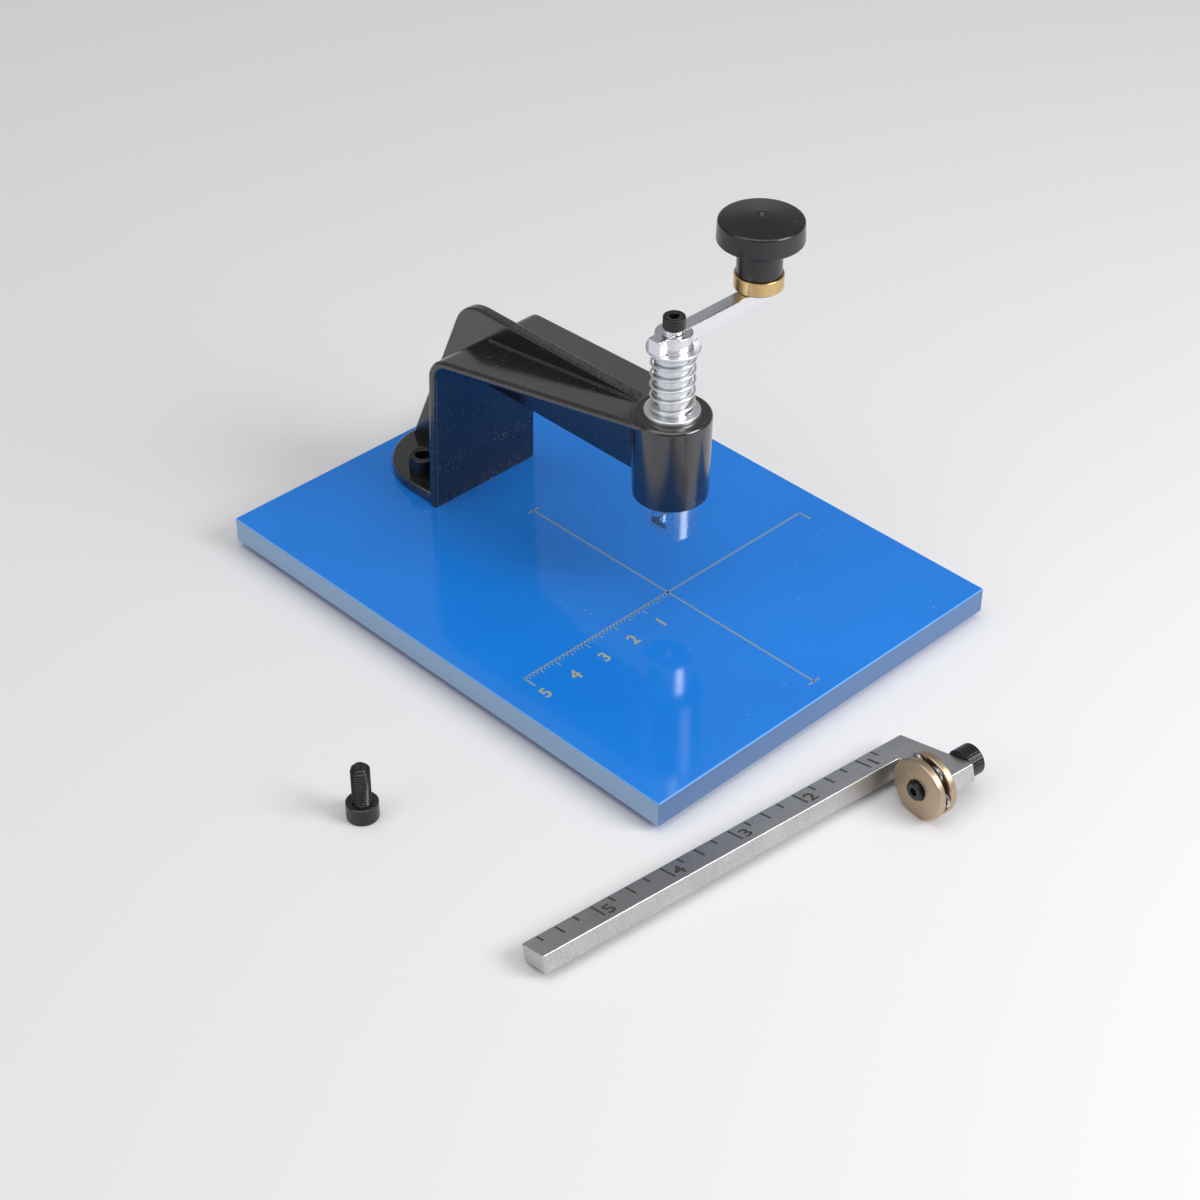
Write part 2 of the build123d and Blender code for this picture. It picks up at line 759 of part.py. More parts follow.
# Six cutting wheels, each bevelled from both faces to a sharp edge
wheel_middle = groove_start + groove_width / 2
wheel_bevel = wheel_thickness / 2
for number in range(1, wheel_count + 1):
    wheel_angle = first_wheel_angle + (number - 1) * wheel_step
    wheel_x, wheel_y = (
        wheel_pitch_radius * cos(radians(wheel_angle)),
        wheel_pitch_radius * sin(radians(wheel_angle)),
    )
    wheel_origin = turret_plane.from_local_coords((wheel_x, wheel_y, wheel_middle))
    with BuildPart() as cutting_wheel:
        with BuildSketch(Plane(origin=wheel_origin, x_dir=turret_plane.x_dir, z_dir=turret_plane.y_dir)):
            with BuildLine():
                Polyline(
                    (pin_radius + running_gap, wheel_bevel),
                    (wheel_radius - wheel_bevel, wheel_bevel),
                    (wheel_radius, 0),
                    (wheel_radius - wheel_bevel, -wheel_bevel),
                    (pin_radius + running_gap, -wheel_bevel),
                    close=True,
                )
            make_face()
        revolve(axis=Axis(wheel_origin, turret_plane.z_dir))
    cutting_wheel.part.label = f"cutting_wheel_{number}"
    export_step(cutting_wheel.part, f"parts/cutting_wheel_{number}.step")

# The loose clamp screw, which holds the arm in the spindle's window
clamp_place = (clamp_x, clamp_y)
with BuildPart() as clamp_screw:
    with BuildSketch(Plane.XY.offset(floor_z)):
        with Locations(clamp_place):
            Circle(m6_head_radius)
    extrude(amount=m6_head_height)
    with BuildSketch(Plane.XY.offset(floor_z)):
        with Locations(clamp_place):
            RegularPolygon(m6_socket_flats / 2, 6, major_radius=False)
    extrude(amount=m6_socket_depth, mode=Mode.SUBTRACT)
    with BuildSketch(Plane.XY.offset(floor_z + m6_head_height)):
        with Locations(clamp_place):
            Circle(m6_radius)
    extrude(amount=clamp_length)
    chamfer(clamp_screw.edges().group_by(Axis.Z)[-1], clamp_tip_chamfer)
clamp_screw.part.label = "clamp_screw"
export_step(clamp_screw.part, "parts/clamp_screw.step")
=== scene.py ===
"""Circle cutter for sheet glass: a worktop, a sprung crank spindle and a loose scaled arm.

Lengths are in millimetres until a shape becomes a mesh, which is in metres. The origin is on the
worktop's upper face, on the spindle's axis, and Z is up.
"""
import logging
import math
from collections.abc import Callable, Sequence
from dataclasses import dataclass, field, replace
from enum import Enum

import bmesh
import bpy
import numpy as np
from mathutils import Matrix, Vector


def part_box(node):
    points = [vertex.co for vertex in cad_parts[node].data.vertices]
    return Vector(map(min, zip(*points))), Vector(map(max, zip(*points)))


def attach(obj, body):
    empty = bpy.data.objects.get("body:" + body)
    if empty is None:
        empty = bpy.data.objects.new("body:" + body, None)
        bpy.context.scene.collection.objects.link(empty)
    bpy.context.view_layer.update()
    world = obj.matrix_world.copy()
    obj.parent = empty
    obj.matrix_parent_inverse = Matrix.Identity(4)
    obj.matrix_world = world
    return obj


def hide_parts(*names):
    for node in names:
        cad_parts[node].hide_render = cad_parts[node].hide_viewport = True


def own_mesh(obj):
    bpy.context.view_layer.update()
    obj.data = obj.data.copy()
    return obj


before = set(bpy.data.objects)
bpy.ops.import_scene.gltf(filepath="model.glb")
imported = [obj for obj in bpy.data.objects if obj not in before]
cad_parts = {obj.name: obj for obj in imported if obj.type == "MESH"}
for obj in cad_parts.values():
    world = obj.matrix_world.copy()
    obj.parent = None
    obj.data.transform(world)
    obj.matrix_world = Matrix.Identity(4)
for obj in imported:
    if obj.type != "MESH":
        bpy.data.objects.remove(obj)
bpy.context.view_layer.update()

MM = 0.001
UPRIGHT = Matrix(((1, 0, 0, 0), (0, 0, -1, 0), (0, 1, 0, 0), (0, 0, 0, 1)))
PROUD = 0.02
CREASE = math.radians(32.0)
LOG = logging.getLogger("circle_cutter")
Rgb = tuple[float, float, float]
Xyz = tuple[float, float, float]
Array = np.ndarray
Points = Array | Sequence[Sequence[float]]


# Shapes


@dataclass(frozen=True)
class Shape:
    """A closed surface: vertices in millimetres, and arrays of faces as rows of vertex numbers."""

    vertices: Array
    faces: tuple[Array, ...]

    def placed(self, matrix: Matrix) -> "Shape":
        """The shape turned and shifted by a matrix in millimetres, with no mirror."""
        m = np.array(matrix)
        return Shape(self.vertices @ m[:3, :3].T + m[:3, 3], self.faces)

    def shifted(self, x: float = 0.0, y: float = 0.0, z: float = 0.0) -> "Shape":
        """The shape moved along the axes."""
        return Shape(self.vertices + np.array([x, y, z]), self.faces)

    @staticmethod
    def joined(shapes: Sequence["Shape"]) -> "Shape":
        """Several shapes as one.

        Args:
            shapes: the shapes, each closed.

        Returns:
            One shape with all their faces, the vertex numbers shifted by the counts before them.
        """
        starts = np.cumsum([0] + [len(shape.vertices) for shape in shapes[:-1]])
        faces = tuple(rows + start for shape, start in zip(shapes, starts) for rows in shape.faces)
        return Shape(np.concatenate([shape.vertices for shape in shapes]), faces)


def grid_quads(rings: int, sides: int) -> Array:
    """Quads between neighbouring rings of a tube.

    Args:
        rings: number of rings, one after the other in the vertex list.
        sides: number of vertices in each ring, which closes on itself.

    Returns:
        Rows (a, next of a, next of a one ring on, a one ring on).
    """
    ring, side = np.meshgrid(np.arange(rings - 1), np.arange(sides), indexing="ij")
    after = (side + 1) % sides
    quads = [
        ring * sides + side, ring * sides + after, (ring + 1) * sides + after,
        (ring + 1) * sides + side
    ]
    return np.stack(quads, axis=-1).reshape(-1, 4)


def capped_tube(rings: Array) -> Shape:
    """A tube through rings of points, closed by a flat face at each end.

    Args:
        rings: points as (ring, side, xyz), each ring counterclockwise seen against the run.

    Returns:
        The quads of the tube and one many-sided face at each end.
    """
    count, sides = rings.shape[:2]
    first = np.arange(sides)[::-1][None, :]
    last = (count - 1) * sides + np.arange(sides)[None, :]
    return Shape(rings.reshape(-1, 3), (grid_quads(count, sides), first, last))


def rounded(
    corners: Points, radii: Sequence[float] | float, steps: int = 5, closed: bool = True
) -> Array:
    """An outline with its corners rounded.

    At a corner P with unit directions a and b to its neighbours and half angle h between them, the
    arc's centre is P + (a + b) / |a + b| * r / sin(h). The arc's points turn from one tangent point
    to the other by spherical interpolation of the two radius directions.

    Args:
        corners: points (n, 2).
        radii: one radius, or one for each corner.
        steps: parts that each arc is divided into.
        closed: whether the last corner joins the first; an open line keeps its ends sharp.

    Returns:
        The points in order, with repeated ones left out.
    """
    points = np.asarray(corners, float)
    radius = np.broadcast_to(np.asarray(radii, float), len(points)).copy()
    before, after = np.roll(points, 1, axis=0), np.roll(points, -1, axis=0)
    if not closed:
        before[0], after[-1] = 2 * points[0] - points[1], 2 * points[-1] - points[-2]
        radius[[0, -1]] = 0
    a = (before - points) / np.linalg.norm(before - points, axis=1, keepdims=True)
    b = (after - points) / np.linalg.norm(after - points, axis=1, keepdims=True)
    half = np.arccos(np.clip(np.sum(a * b, axis=1), -1, 1)) / 2
    straight = half > math.pi / 2 - 1e-4
    radius[straight] = 0
    bisector = np.where(straight[:, None], a, a + b)
    bisector /= np.linalg.norm(bisector, axis=1, keepdims=True)
    centre = points + bisector * (radius / np.sin(half))[:, None]
    trim = radius / np.tan(half)
    start = points + a * trim[:, None] - centre
    end = points + b * trim[:, None] - centre
    sweep = np.maximum(math.pi - 2 * half, 1e-6)[:, None]
    share = np.linspace(0, 1, steps + 1)[None, :]
    blend_start = np.sin((1 - share) * sweep) / np.sin(sweep)
    blend_end = np.sin(share * sweep) / np.sin(sweep)
    arcs = centre[:, None] + blend_start[
        ..., None
    ] * start[:, None] + blend_end[..., None] * end[:, None]
    line = arcs.reshape(-1, 2)
    following = np.roll(line, -1, axis=0)
    kept = np.linalg.norm(following - line, axis=1) > 1e-6
    if not closed:
        kept[-1] = True
    return line[kept]


def turn_angles(sides: int) -> Array:
    """Evenly spaced angles of one full turn, from 0."""
    return np.linspace(0, 2 * math.pi, sides, endpoint=False)


def circle(radius: float, sides: int) -> Array:
    """Points of a circle, counterclockwise."""
    angle = turn_angles(sides)
    return radius * np.stack([np.cos(angle), np.sin(angle)], axis=-1)


def turned(profile: Array, sides: int = 96) -> Shape:
    """A solid of revolution about Z: the point (r, z) goes to (r cos t, r sin t, z).

    Args:
        profile: points (radius, height), upwards along the outside.
        sides: divisions of the turn.

    Returns:
        The surface, closed where the profile starts and ends on the axis.
    """
    flat = profile[:, 0][:, None, None] * circle(1.0, sides)[None]
    height = np.broadcast_to(profile[:, 1][:, None, None], flat.shape[:2] + (1,))
    return Shape(
        np.concatenate([flat, height], axis=-1).reshape(-1, 3), (grid_quads(len(profile), sides),)
    )


def turned_ring(
    corners: Points, radii: Sequence[float] | float, steps: int, sides: int = 96
) -> Shape:
    """A ring about Z from a closed outline of (radius, height), counterclockwise and rounded."""
    profile = rounded(corners, radii, steps)
    return turned(np.concatenate([profile, profile[:1]]), sides)


def offsets(outline: Array) -> Array:
    """The step inwards at each point of a counterclockwise outline, for one millimetre of inset.

    With unit edge normals m and n before and after a point, the step is (m + n) / (1 + m . n).

    Args:
        outline: points (n, 2).

    Returns:
        Steps (n, 2).
    """
    edge = np.roll(outline, -1, axis=0) - outline
    edge /= np.linalg.norm(edge, axis=1, keepdims=True)
    normal = np.stack([-edge[:, 1], edge[:, 0]], axis=-1)
    before = np.roll(normal, 1, axis=0)
    return (before + normal) / (1 + np.sum(before * normal, axis=1, keepdims=True))


def slab(outline: Array, low: float, high: float, edge: float, steps: int = 4) -> Shape:
    """A flat plate with rounded edges.

    Ring k lies at inset e (1 - cos t) and height e (1 - sin t) from the face, t from 0 to a quarter
    turn, at the lower face and again at the upper one.

    Args:
        outline: counterclockwise points (n, 2).
        low: height of the lower face.
        high: height of the upper face.
        edge: radius of the rounded edges.
        steps: parts that each rounding is divided into.

    Returns:
        The closed plate.
    """
    t = np.linspace(0, math.pi / 2, steps + 1)
    inset = edge * (1 - np.sin(t))
    rise = edge * (1 - np.cos(t))
    insets = np.concatenate([inset, inset[::-1]])
    heights = np.concatenate([low + rise, high - rise[::-1]])
    flat = outline[None] + insets[:, None, None] * offsets(outline)[None]
    height = np.broadcast_to(heights[:, None, None], flat.shape[:2] + (1,))
    return capped_tube(np.concatenate([flat, height], axis=-1))


def carried(section: Array, origins: Array, across: Array, above: Array) -> Shape:
    """A section carried along a path: the point (u, v) goes to origin + u * across + v * above.

    Args:
        section: points (side, 2), or (place, side, 2) where it changes along the path.
        origins: the path's points (place, xyz).
        across: the section's first direction at each place.
        above: its second direction; across x above points along the path.

    Returns:
        The closed solid.
    """
    section = np.broadcast_to(section, (len(origins),) + section.shape[-2:])
    rings = origins[
        :, None
    ] + section[..., :1] * across[:, None] + section[..., 1:] * above[:, None]
    return capped_tube(rings)


def box_between(low: Sequence[float], high: Sequence[float]) -> Shape:
    """A sharp block between two corners.

    Args:
        low: the corner with the least coordinates, in millimetres.
        high: the corner with the greatest ones.

    Returns:
        The block.
    """
    x, y = (low[0], high[0]), (low[1], high[1])
    outline = np.array([(x[0], y[0]), (x[1], y[0]), (x[1], y[1]), (x[0], y[1])], float)
    rings = np.stack(
        [np.column_stack([outline, np.full(4, height)]) for height in (low[2], high[2])]
    )
    return capped_tube(rings)


def linked(name: str, data: bpy.types.ID) -> bpy.types.Object:
    """A new object with its data, in the scene.

    Args:
        name: the object's name.
        data: its mesh, lamp or camera.

    Returns:
        The object.
    """
    made = bpy.data.objects.new(name, data)
    bpy.context.scene.collection.objects.link(made)
    return made


def shaded(mesh: bpy.types.Mesh) -> bpy.types.Mesh:
    """Shades a mesh smooth, apart from edges sharper than the crease angle.

    Args:
        mesh: the mesh, which is changed.

    Returns:
        The same mesh.
    """
    mesh.polygons.foreach_set("use_smooth", np.ones(len(mesh.polygons), bool))
    mesh.set_sharp_from_angle(angle=CREASE)
    return mesh


def make_mesh(name: str, shape: Shape) -> bpy.types.Mesh:
    """A mesh from a shape, in metres, with doubled points joined.

    Args:
        name: the mesh's name.
        shape: the surface in millimetres.

    Returns:
        The smooth-shaded mesh.
    """
    mesh = bpy.data.meshes.new(name)
    mesh.from_pydata(
        shape.vertices * MM, [], [row for rows in shape.faces for row in rows.tolist()]
    )
    work = bmesh.new()
    work.from_mesh(mesh)
    bmesh.ops.remove_doubles(work, verts=work.verts, dist=1e-3 * MM)
    work.to_mesh(mesh)
    work.free()
    return shaded(mesh)


def evened(piece: bpy.types.Object) -> bpy.types.Object:
    """Shades flat faces flat beside their rounded edges, by normals weighted by face area.

    Args:
        piece: the piece, which gets a modifier.

    Returns:
        The same piece.
    """
    weighting = piece.modifiers.new("even shading", "WEIGHTED_NORMAL")
    weighting.keep_sharp = True
    weighting.weight = 80
    return piece


def make_piece(
    name: str, shape: Shape, slot: str, body: str, replaced: Sequence[str] = (), even: bool = False
) -> bpy.types.Object:
    """A dressed piece that rides on a body.

    Args:
        name: the piece's name.
        shape: its surface in millimetres.
        slot: the slot whose finish it has.
        body: the body that carries it.
        replaced: nodes that it stands for.
        even: whether its shading is evened over flat faces.

    Returns:
        The object.
    """
    piece, finish = linked(name, make_mesh(name, shape)), FINISHES[slot]
    piece.data.materials.append(finish.material())
    if even:
        evened(piece)
    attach(piece, body)
    not isinstance(finish, PrintedMark)
    if replaced:
        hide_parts(*replaced)
    LOG.info("%s: %d faces on %s", name, len(piece.data.polygons), body)
    return piece


def cut(piece: bpy.types.Object, shape: Shape) -> bpy.types.Object:
    """Takes a shape out of a piece.

    Args:
        piece: the piece, whose mesh is exchanged.
        shape: the cutter, closed, or several closed ones joined.

    Returns:
        The piece.
    """
    cutter = linked("cutter", make_mesh("cutter", shape))
    hole = piece.modifiers.new("hole", "BOOLEAN")
    hole.operation, hole.solver, hole.object = "DIFFERENCE", "EXACT", cutter
    graph = bpy.context.evaluated_depsgraph_get()
    mesh = bpy.data.meshes.new_from_object(piece.evaluated_get(graph))
    piece.modifiers.clear()
    piece.data = shaded(mesh)
    bpy.data.objects.remove(cutter)
    return piece


# Shader groups


class Graph:
    """A short way to place and join nodes in a tree."""

    def __init__(self, tree: bpy.types.NodeTree) -> None:
        """Keeps the tree."""
        self.tree = tree

    def node(self, kind: str, **settings: object) -> bpy.types.Node:
        """A new node.

        Args:
            kind: the node type after ShaderNode, or a group's own type.
            settings: attributes set on the node.

        Returns:
            The node.
        """
        made = self.tree.nodes.new(kind if kind.startswith("Node") else "ShaderNode" + kind)
        for key, value in settings.items():
            setattr(made, key, value)
        return made

    def put(self, socket: bpy.types.NodeSocket, value: object) -> None:
        """Joins a socket to another, or sets its number or colour.

        Args:
            socket: the input socket.
            value: another socket, a number or a colour.
        """
        if isinstance(value, bpy.types.NodeSocket):
            self.tree.links.new(value, socket)
        elif isinstance(value, tuple) and socket.type == "RGBA":
            socket.default_value = (*value[:3], 1.0)
        else:
            socket.default_value = value

    def feed(self, node: bpy.types.Node, **values: object) -> None:
        """Sets or joins a node's inputs, named with underlines for spaces."""
        for key, value in values.items():
            self.put(node.inputs[key.replace("_", " ")], value)

    def math(
        self, operation: str, a: object, b: object = 0.0, clamp: bool = False
    ) -> bpy.types.NodeSocket:
        """A sum or other operation on two numbers.

        Args:
            operation: the operation's name.
            a: the first number or socket.
            b: the second one.
            clamp: whether the result is held from 0 to 1.

        Returns:
            The result's socket.
        """
        made = self.node("Math", operation=operation, use_clamp=clamp)
        self.put(made.inputs[0], a)
        self.put(made.inputs[1], b)
        return made.outputs[0]

    def times(self, a: object, b: object) -> bpy.types.NodeSocket:
        """The product of two numbers."""
        return self.math("MULTIPLY", a, b)

    def spread(
        self, value: object, low: float, high: float, to_low: float = 0.0, to_high: float = 1.0
    ) -> bpy.types.NodeSocket:
        """A number carried from one range to another, held at its ends.

        Args:
            value: the number or socket.
            low: where its own range starts.
            high: where its own range ends.
            to_low: where the new range starts.
            to_high: where the new range ends.

        Returns:
            The carried number's socket.
        """
        made = self.node("MapRange", clamp=True)
        for index, number in enumerate((value, low, high, to_low, to_high)):
            self.put(made.inputs[index], number)
        return made.outputs[0]

    def mix(self, share: object, a: object, b: object) -> bpy.types.NodeSocket:
        """A colour between two, by a share that changes over the surface.

        Args:
            share: share of the second colour, from 0 to 1.
            a: the first colour.
            b: the second colour.

        Returns:
            The mixed colour's socket.
        """
        made = self.node("Mix", data_type="RGBA")
        self.put(made.inputs[0], share)
        self.put(made.inputs[6], a)
        self.put(made.inputs[7], b)
        return made.outputs[2]

    def noise(
        self, vector: object, scale: object, detail: float = 3.0, rough: float = 0.55
    ) -> bpy.types.NodeSocket:
        """Noise from 0 to 1 at a scale.

        Args:
            vector: coordinates.
            scale: how fine the noise is.
            detail: how many finer layers it has.
            rough: how strong the finer layers are.

        Returns:
            The noise's socket.
        """
        made = self.node("TexNoise")
        self.feed(made, Vector=vector, Scale=scale, Detail=detail, Roughness=rough)
        return made.outputs["Fac"]

    def mapped(
        self, vector: object, shift: Vector, turn: Vector, scale: Vector = Vector((1, 1, 1))
    ) -> bpy.types.NodeSocket:
        """Coordinates centred and turned by a Mapping node.

        Args:
            vector: coordinates.
            shift: how far they move.
            turn: how far they turn about each axis, in radians.
            scale: how much they are stretched along each axis.

        Returns:
            The new coordinates' socket.
        """
        made = self.node("Mapping")
        self.feed(made, Vector=vector, Location=shift, Rotation=turn, Scale=scale)
        return made.outputs[0]

    def effect(self, effect: "Effect", place: object, **values: object) -> bpy.types.NodeOutputs:
        """The outputs of a shared effect at some coordinates, with its own values.

        Args:
            effect: the shared effect.
            place: coordinates.
            values: its other inputs, by name.

        Returns:
            The outputs of the effect.
        """
        made = self.node("Group")
        made.node_tree = effect.tree()
        for key, value in {"Vector": place, **values}.items():
            self.put(made.inputs[key], value)
        return made.outputs


def new_group(
    name: str, numbers: dict[str, float], outputs: Sequence[str]
) -> tuple[Graph, bpy.types.Node, bpy.types.Node]:
    """An empty shader group with a Vector input.

    Args:
        name: the group's name.
        numbers: names of its other inputs and their usual values.
        outputs: names of its outputs, all numbers.

    Returns:
        Its graph, its input node and its output node.
    """
    tree = bpy.data.node_groups.new(name, "ShaderNodeTree")
    tree.interface.new_socket("Vector", in_out="INPUT", socket_type="NodeSocketVector")
    for key, value in numbers.items():
        tree.interface.new_socket(
            key, in_out="INPUT", socket_type="NodeSocketFloat"
        ).default_value = value
    for key in outputs:
        tree.interface.new_socket(key, in_out="OUTPUT", socket_type="NodeSocketFloat")
    graph = Graph(tree)
    return graph, graph.node("NodeGroupInput"), graph.node("NodeGroupOutput")


class Effect(Enum):
    """The shared surface effects, by the names of their groups."""

    GRAIN = "fine grain"
    LINES = "drawn lines"
    TURNING = "turned lines"
    DUST = "glass dust"
    WEAR = "edge wear"
    SCRATCHES = "hairline scratches"

    def tree(self) -> bpy.types.NodeTree:
        """The group, built at its first use."""
        made = bpy.data.node_groups.get(self.value)
        return made or BUILDERS[self]()


def build_grain() -> bpy.types.NodeTree:
    """Fine grain: a coarse noise times a four times finer one, and a slow drift over it.

    Returns:
        The group's tree.
    """
    graph, given, out = new_group(Effect.GRAIN.value, {"Scale": 800.0}, ("Height", "Drift"))
    scale = given.outputs["Scale"]
    coarse = graph.noise(given.outputs["Vector"], scale, 4.0)
    fine = graph.noise(given.outputs["Vector"], graph.times(scale, 4.0), 2.0)
    graph.feed(out, Height=graph.times(coarse, graph.math("ADD", fine, 0.5)))
    drift = graph.noise(given.outputs["Vector"], graph.times(scale, 0.04), 2.0)
    graph.feed(out, Drift=graph.spread(drift, 0.35, 0.65))
    return graph.tree


def build_lines() -> bpy.types.NodeTree:
    """Drawn lines along X: noise of coordinates that are stretched a hundred times along X.

    Returns:
        The group's tree.
    """
    graph, given, out = new_group(Effect.LINES.value, {"Scale": 60.0}, ("Height",))
    stretched = graph.mapped(given.outputs["Vector"], Vector(), Vector(), Vector((1, 100, 100)))
    graph.feed(out, Height=graph.noise(stretched, given.outputs["Scale"], 4.0, 0.7))
    return graph.tree


def build_turning() -> bpy.types.NodeTree:
    """Turned lines about Z: noise of the distance from the axis and the height alone.

    Returns:
        The group's tree.
    """
    graph, given, out = new_group(Effect.TURNING.value, {"Scale": 4000.0}, ("Height",))
    parts = graph.node("SeparateXYZ")
    graph.put(parts.inputs[0], given.outputs["Vector"])
    squares = graph.math(
        "ADD", graph.times(parts.outputs[0], parts.outputs[0]),
        graph.times(parts.outputs[1], parts.outputs[1]),
    )
    place = graph.node("CombineXYZ")
    graph.put(place.inputs[0], graph.math("SQRT", squares))
    graph.put(place.inputs[1], parts.outputs[2])
    graph.feed(out, Height=graph.noise(place.outputs[0], given.outputs["Scale"], 2.0, 0.6))
    return graph.tree


def build_dust() -> bpy.types.NodeTree:
    """Specks: cells whose own random number is high hold a speck as wide as that number lets it be.

    A slow noise thins them out in patches.

    Returns:
        The group's tree.
    """
    graph, given, out = new_group(
        Effect.DUST.value, {"Scale": 500.0, "Share": 0.05, "Width": 0.2}, ("Specks",)
    )
    cells = graph.node("TexVoronoi")
    graph.put(cells.inputs["Vector"], given.outputs["Vector"])
    graph.put(cells.inputs["Scale"], given.outputs["Scale"])
    number = graph.node("SeparateColor")
    graph.put(number.inputs[0], cells.outputs["Color"])
    patch = graph.spread(graph.noise(given.outputs["Vector"], 26.0, 2.0), 0.42, 0.68)
    limit = graph.math("SUBTRACT", 1.0, graph.times(given.outputs["Share"], patch))
    present = graph.math("GREATER_THAN", number.outputs[0], limit)
    width = graph.times(given.outputs["Width"], graph.math("ADD", number.outputs[1], 0.35))
    inside = graph.math("LESS_THAN", cells.outputs["Distance"], width)
    graph.feed(out, Specks=graph.times(present, inside))
    return graph.tree


def build_wear() -> bpy.types.NodeTree:
    """Edge wear: where the surface bulges, broken up by a fine noise.

    Returns:
        The group's tree.
    """
    graph, given, out = new_group(Effect.WEAR.value, {"Amount": 1.0}, ("Worn",))
    bulge = graph.spread(graph.node("NewGeometry").outputs["Pointiness"], 0.52, 0.58)
    broken = graph.spread(graph.noise(given.outputs["Vector"], 900.0, 4.0), 0.4, 0.62)
    amount = given.outputs["Amount"]
    graph.feed(
        out, Worn=graph.math("MULTIPLY", graph.times(bulge, broken), amount, clamp=True)
    )
    return graph.tree


def build_scratches() -> bpy.types.NodeTree:
    """Hairline scratches: thin bands round one value of two long, differently turned noises.

    Returns:
        The group's tree.
    """
    graph, given, out = new_group(
        Effect.SCRATCHES.value, {"Scale": 9.0, "Width": 0.004}, ("Lines",)
    )
    lines = []
    for turn in (0.5, 1.9):
        turned_place = graph.mapped(
            given.outputs["Vector"], Vector(), Vector((0, 0, turn)), Vector((1, 14, 14))
        )
        level = graph.noise(turned_place, given.outputs["Scale"], 1.0)
        distance = graph.math("ABSOLUTE", graph.math("SUBTRACT", level, 0.5))
        broken = graph.spread(graph.noise(given.outputs["Vector"], 45.0, 1.0), 0.55, 0.62)
        lines.append(graph.times(graph.math("LESS_THAN", distance, given.outputs["Width"]), broken))
    graph.feed(out, Lines=graph.math("MAXIMUM", lines[0], lines[1]))
    return graph.tree


BUILDERS: dict[Effect, Callable[[], bpy.types.NodeTree]] = {
    Effect.GRAIN: build_grain,
    Effect.LINES: build_lines,
    Effect.TURNING: build_turning,
    Effect.DUST: build_dust,
    Effect.WEAR: build_wear,
    Effect.SCRATCHES: build_scratches,
}


# Finishes


@dataclass(frozen=True)
class Finish:
    """A finish: the slot it fills, its colour and how it shines."""

    slot: str
    colour: Rgb
    roughness: float

    def material(self) -> bpy.types.Material:
        """The material, built at its first use under a name of its own."""
        return bpy.data.materials.get(self.title) or self.build()

    @property
    def title(self) -> str:
        """The material's name, apart from the plain one that comes with the slot."""
        return f"{self.slot}_finish"

    def blank(self) -> tuple[bpy.types.Material, Graph, bpy.types.Node, bpy.types.NodeSocket]:
        """A new material with a shader and object coordinates.

        Returns:
            The material, its graph, its shader node and its coordinates.
        """
        made = bpy.data.materials.new(self.title)
        made.use_nodes = True
        graph = Graph(made.node_tree)
        shader = made.node_tree.nodes["Principled BSDF"]
        graph.feed(shader, Base_Color=self.colour, Roughness=self.roughness)
        place = graph.node("TexCoord").outputs["Object"]
        return made, graph, shader, place

    def bump(
        self, graph: Graph, shader: bpy.types.Node, height: bpy.types.NodeSocket, depth: float
    ) -> None:
        """Feeds a height, in millimetres for a depth of one, to the shader's normal.

        Args:
            graph: the material's graph.
            shader: its shader node.
            height: the height's socket.
            depth: the relief's depth in millimetres.
        """
        made = graph.node("Bump")
        graph.feed(made, Distance=depth * MM, Height=height)
        graph.feed(shader, Normal=made.outputs[0])

    def build(self) -> bpy.types.Material:
        """Makes the material; each kind of finish has its own."""
        raise NotImplementedError


@dataclass(frozen=True)
class MouldedBlack(Finish):
    """Black moulded or coated surface with a fine grain, worn edges and dust."""

    grain: float = 900.0
    depth: float = 0.012
    dust: float = 0.06
    specular: float = 0.5
    gloss: float = 0.0
    wear: float = 0.5
    dust_scale: float = 1900.0
    dust_width: float = 0.3
    dust_colour: Rgb = (0.42, 0.41, 0.4)
    dust_share: float = 0.3

    def build(self) -> bpy.types.Material:
        """Grain in the bump and the roughness, paler edges, and specks of dust.

        Returns:
            The material.
        """
        made, graph, shader, place = self.blank()
        grain = graph.effect(Effect.GRAIN, place, Scale=self.grain)
        worn = graph.effect(Effect.WEAR, place, Amount=self.wear)["Worn"]
        dust = graph.effect(
            Effect.DUST, place, Scale=self.dust_scale, Share=self.dust, Width=self.dust_width
        )["Specks"]
        lighter = tuple(channel * 2.2 + 0.012 for channel in self.colour)
        colour = graph.mix(graph.times(grain["Drift"], 0.2), self.colour, lighter)
        colour = graph.mix(worn, colour, tuple(channel * 3 + 0.05 for channel in self.colour))
        dusty = graph.mix(graph.times(dust, self.dust_share), colour, self.dust_colour)
        graph.feed(shader, Base_Color=dusty)
        rough = graph.spread(grain["Height"], 0.2, 0.9, self.roughness * 0.85, self.roughness * 1.2)
        graph.feed(shader, Roughness=graph.math("ADD", rough, graph.times(dust, self.dust_share)))
        graph.feed(
            shader, Specular_IOR_Level=self.specular, Coat_Weight=self.gloss,
            Coat_Roughness=self.roughness * 0.7,
        )
        self.bump(graph, shader, grain["Height"], self.depth)
        return made


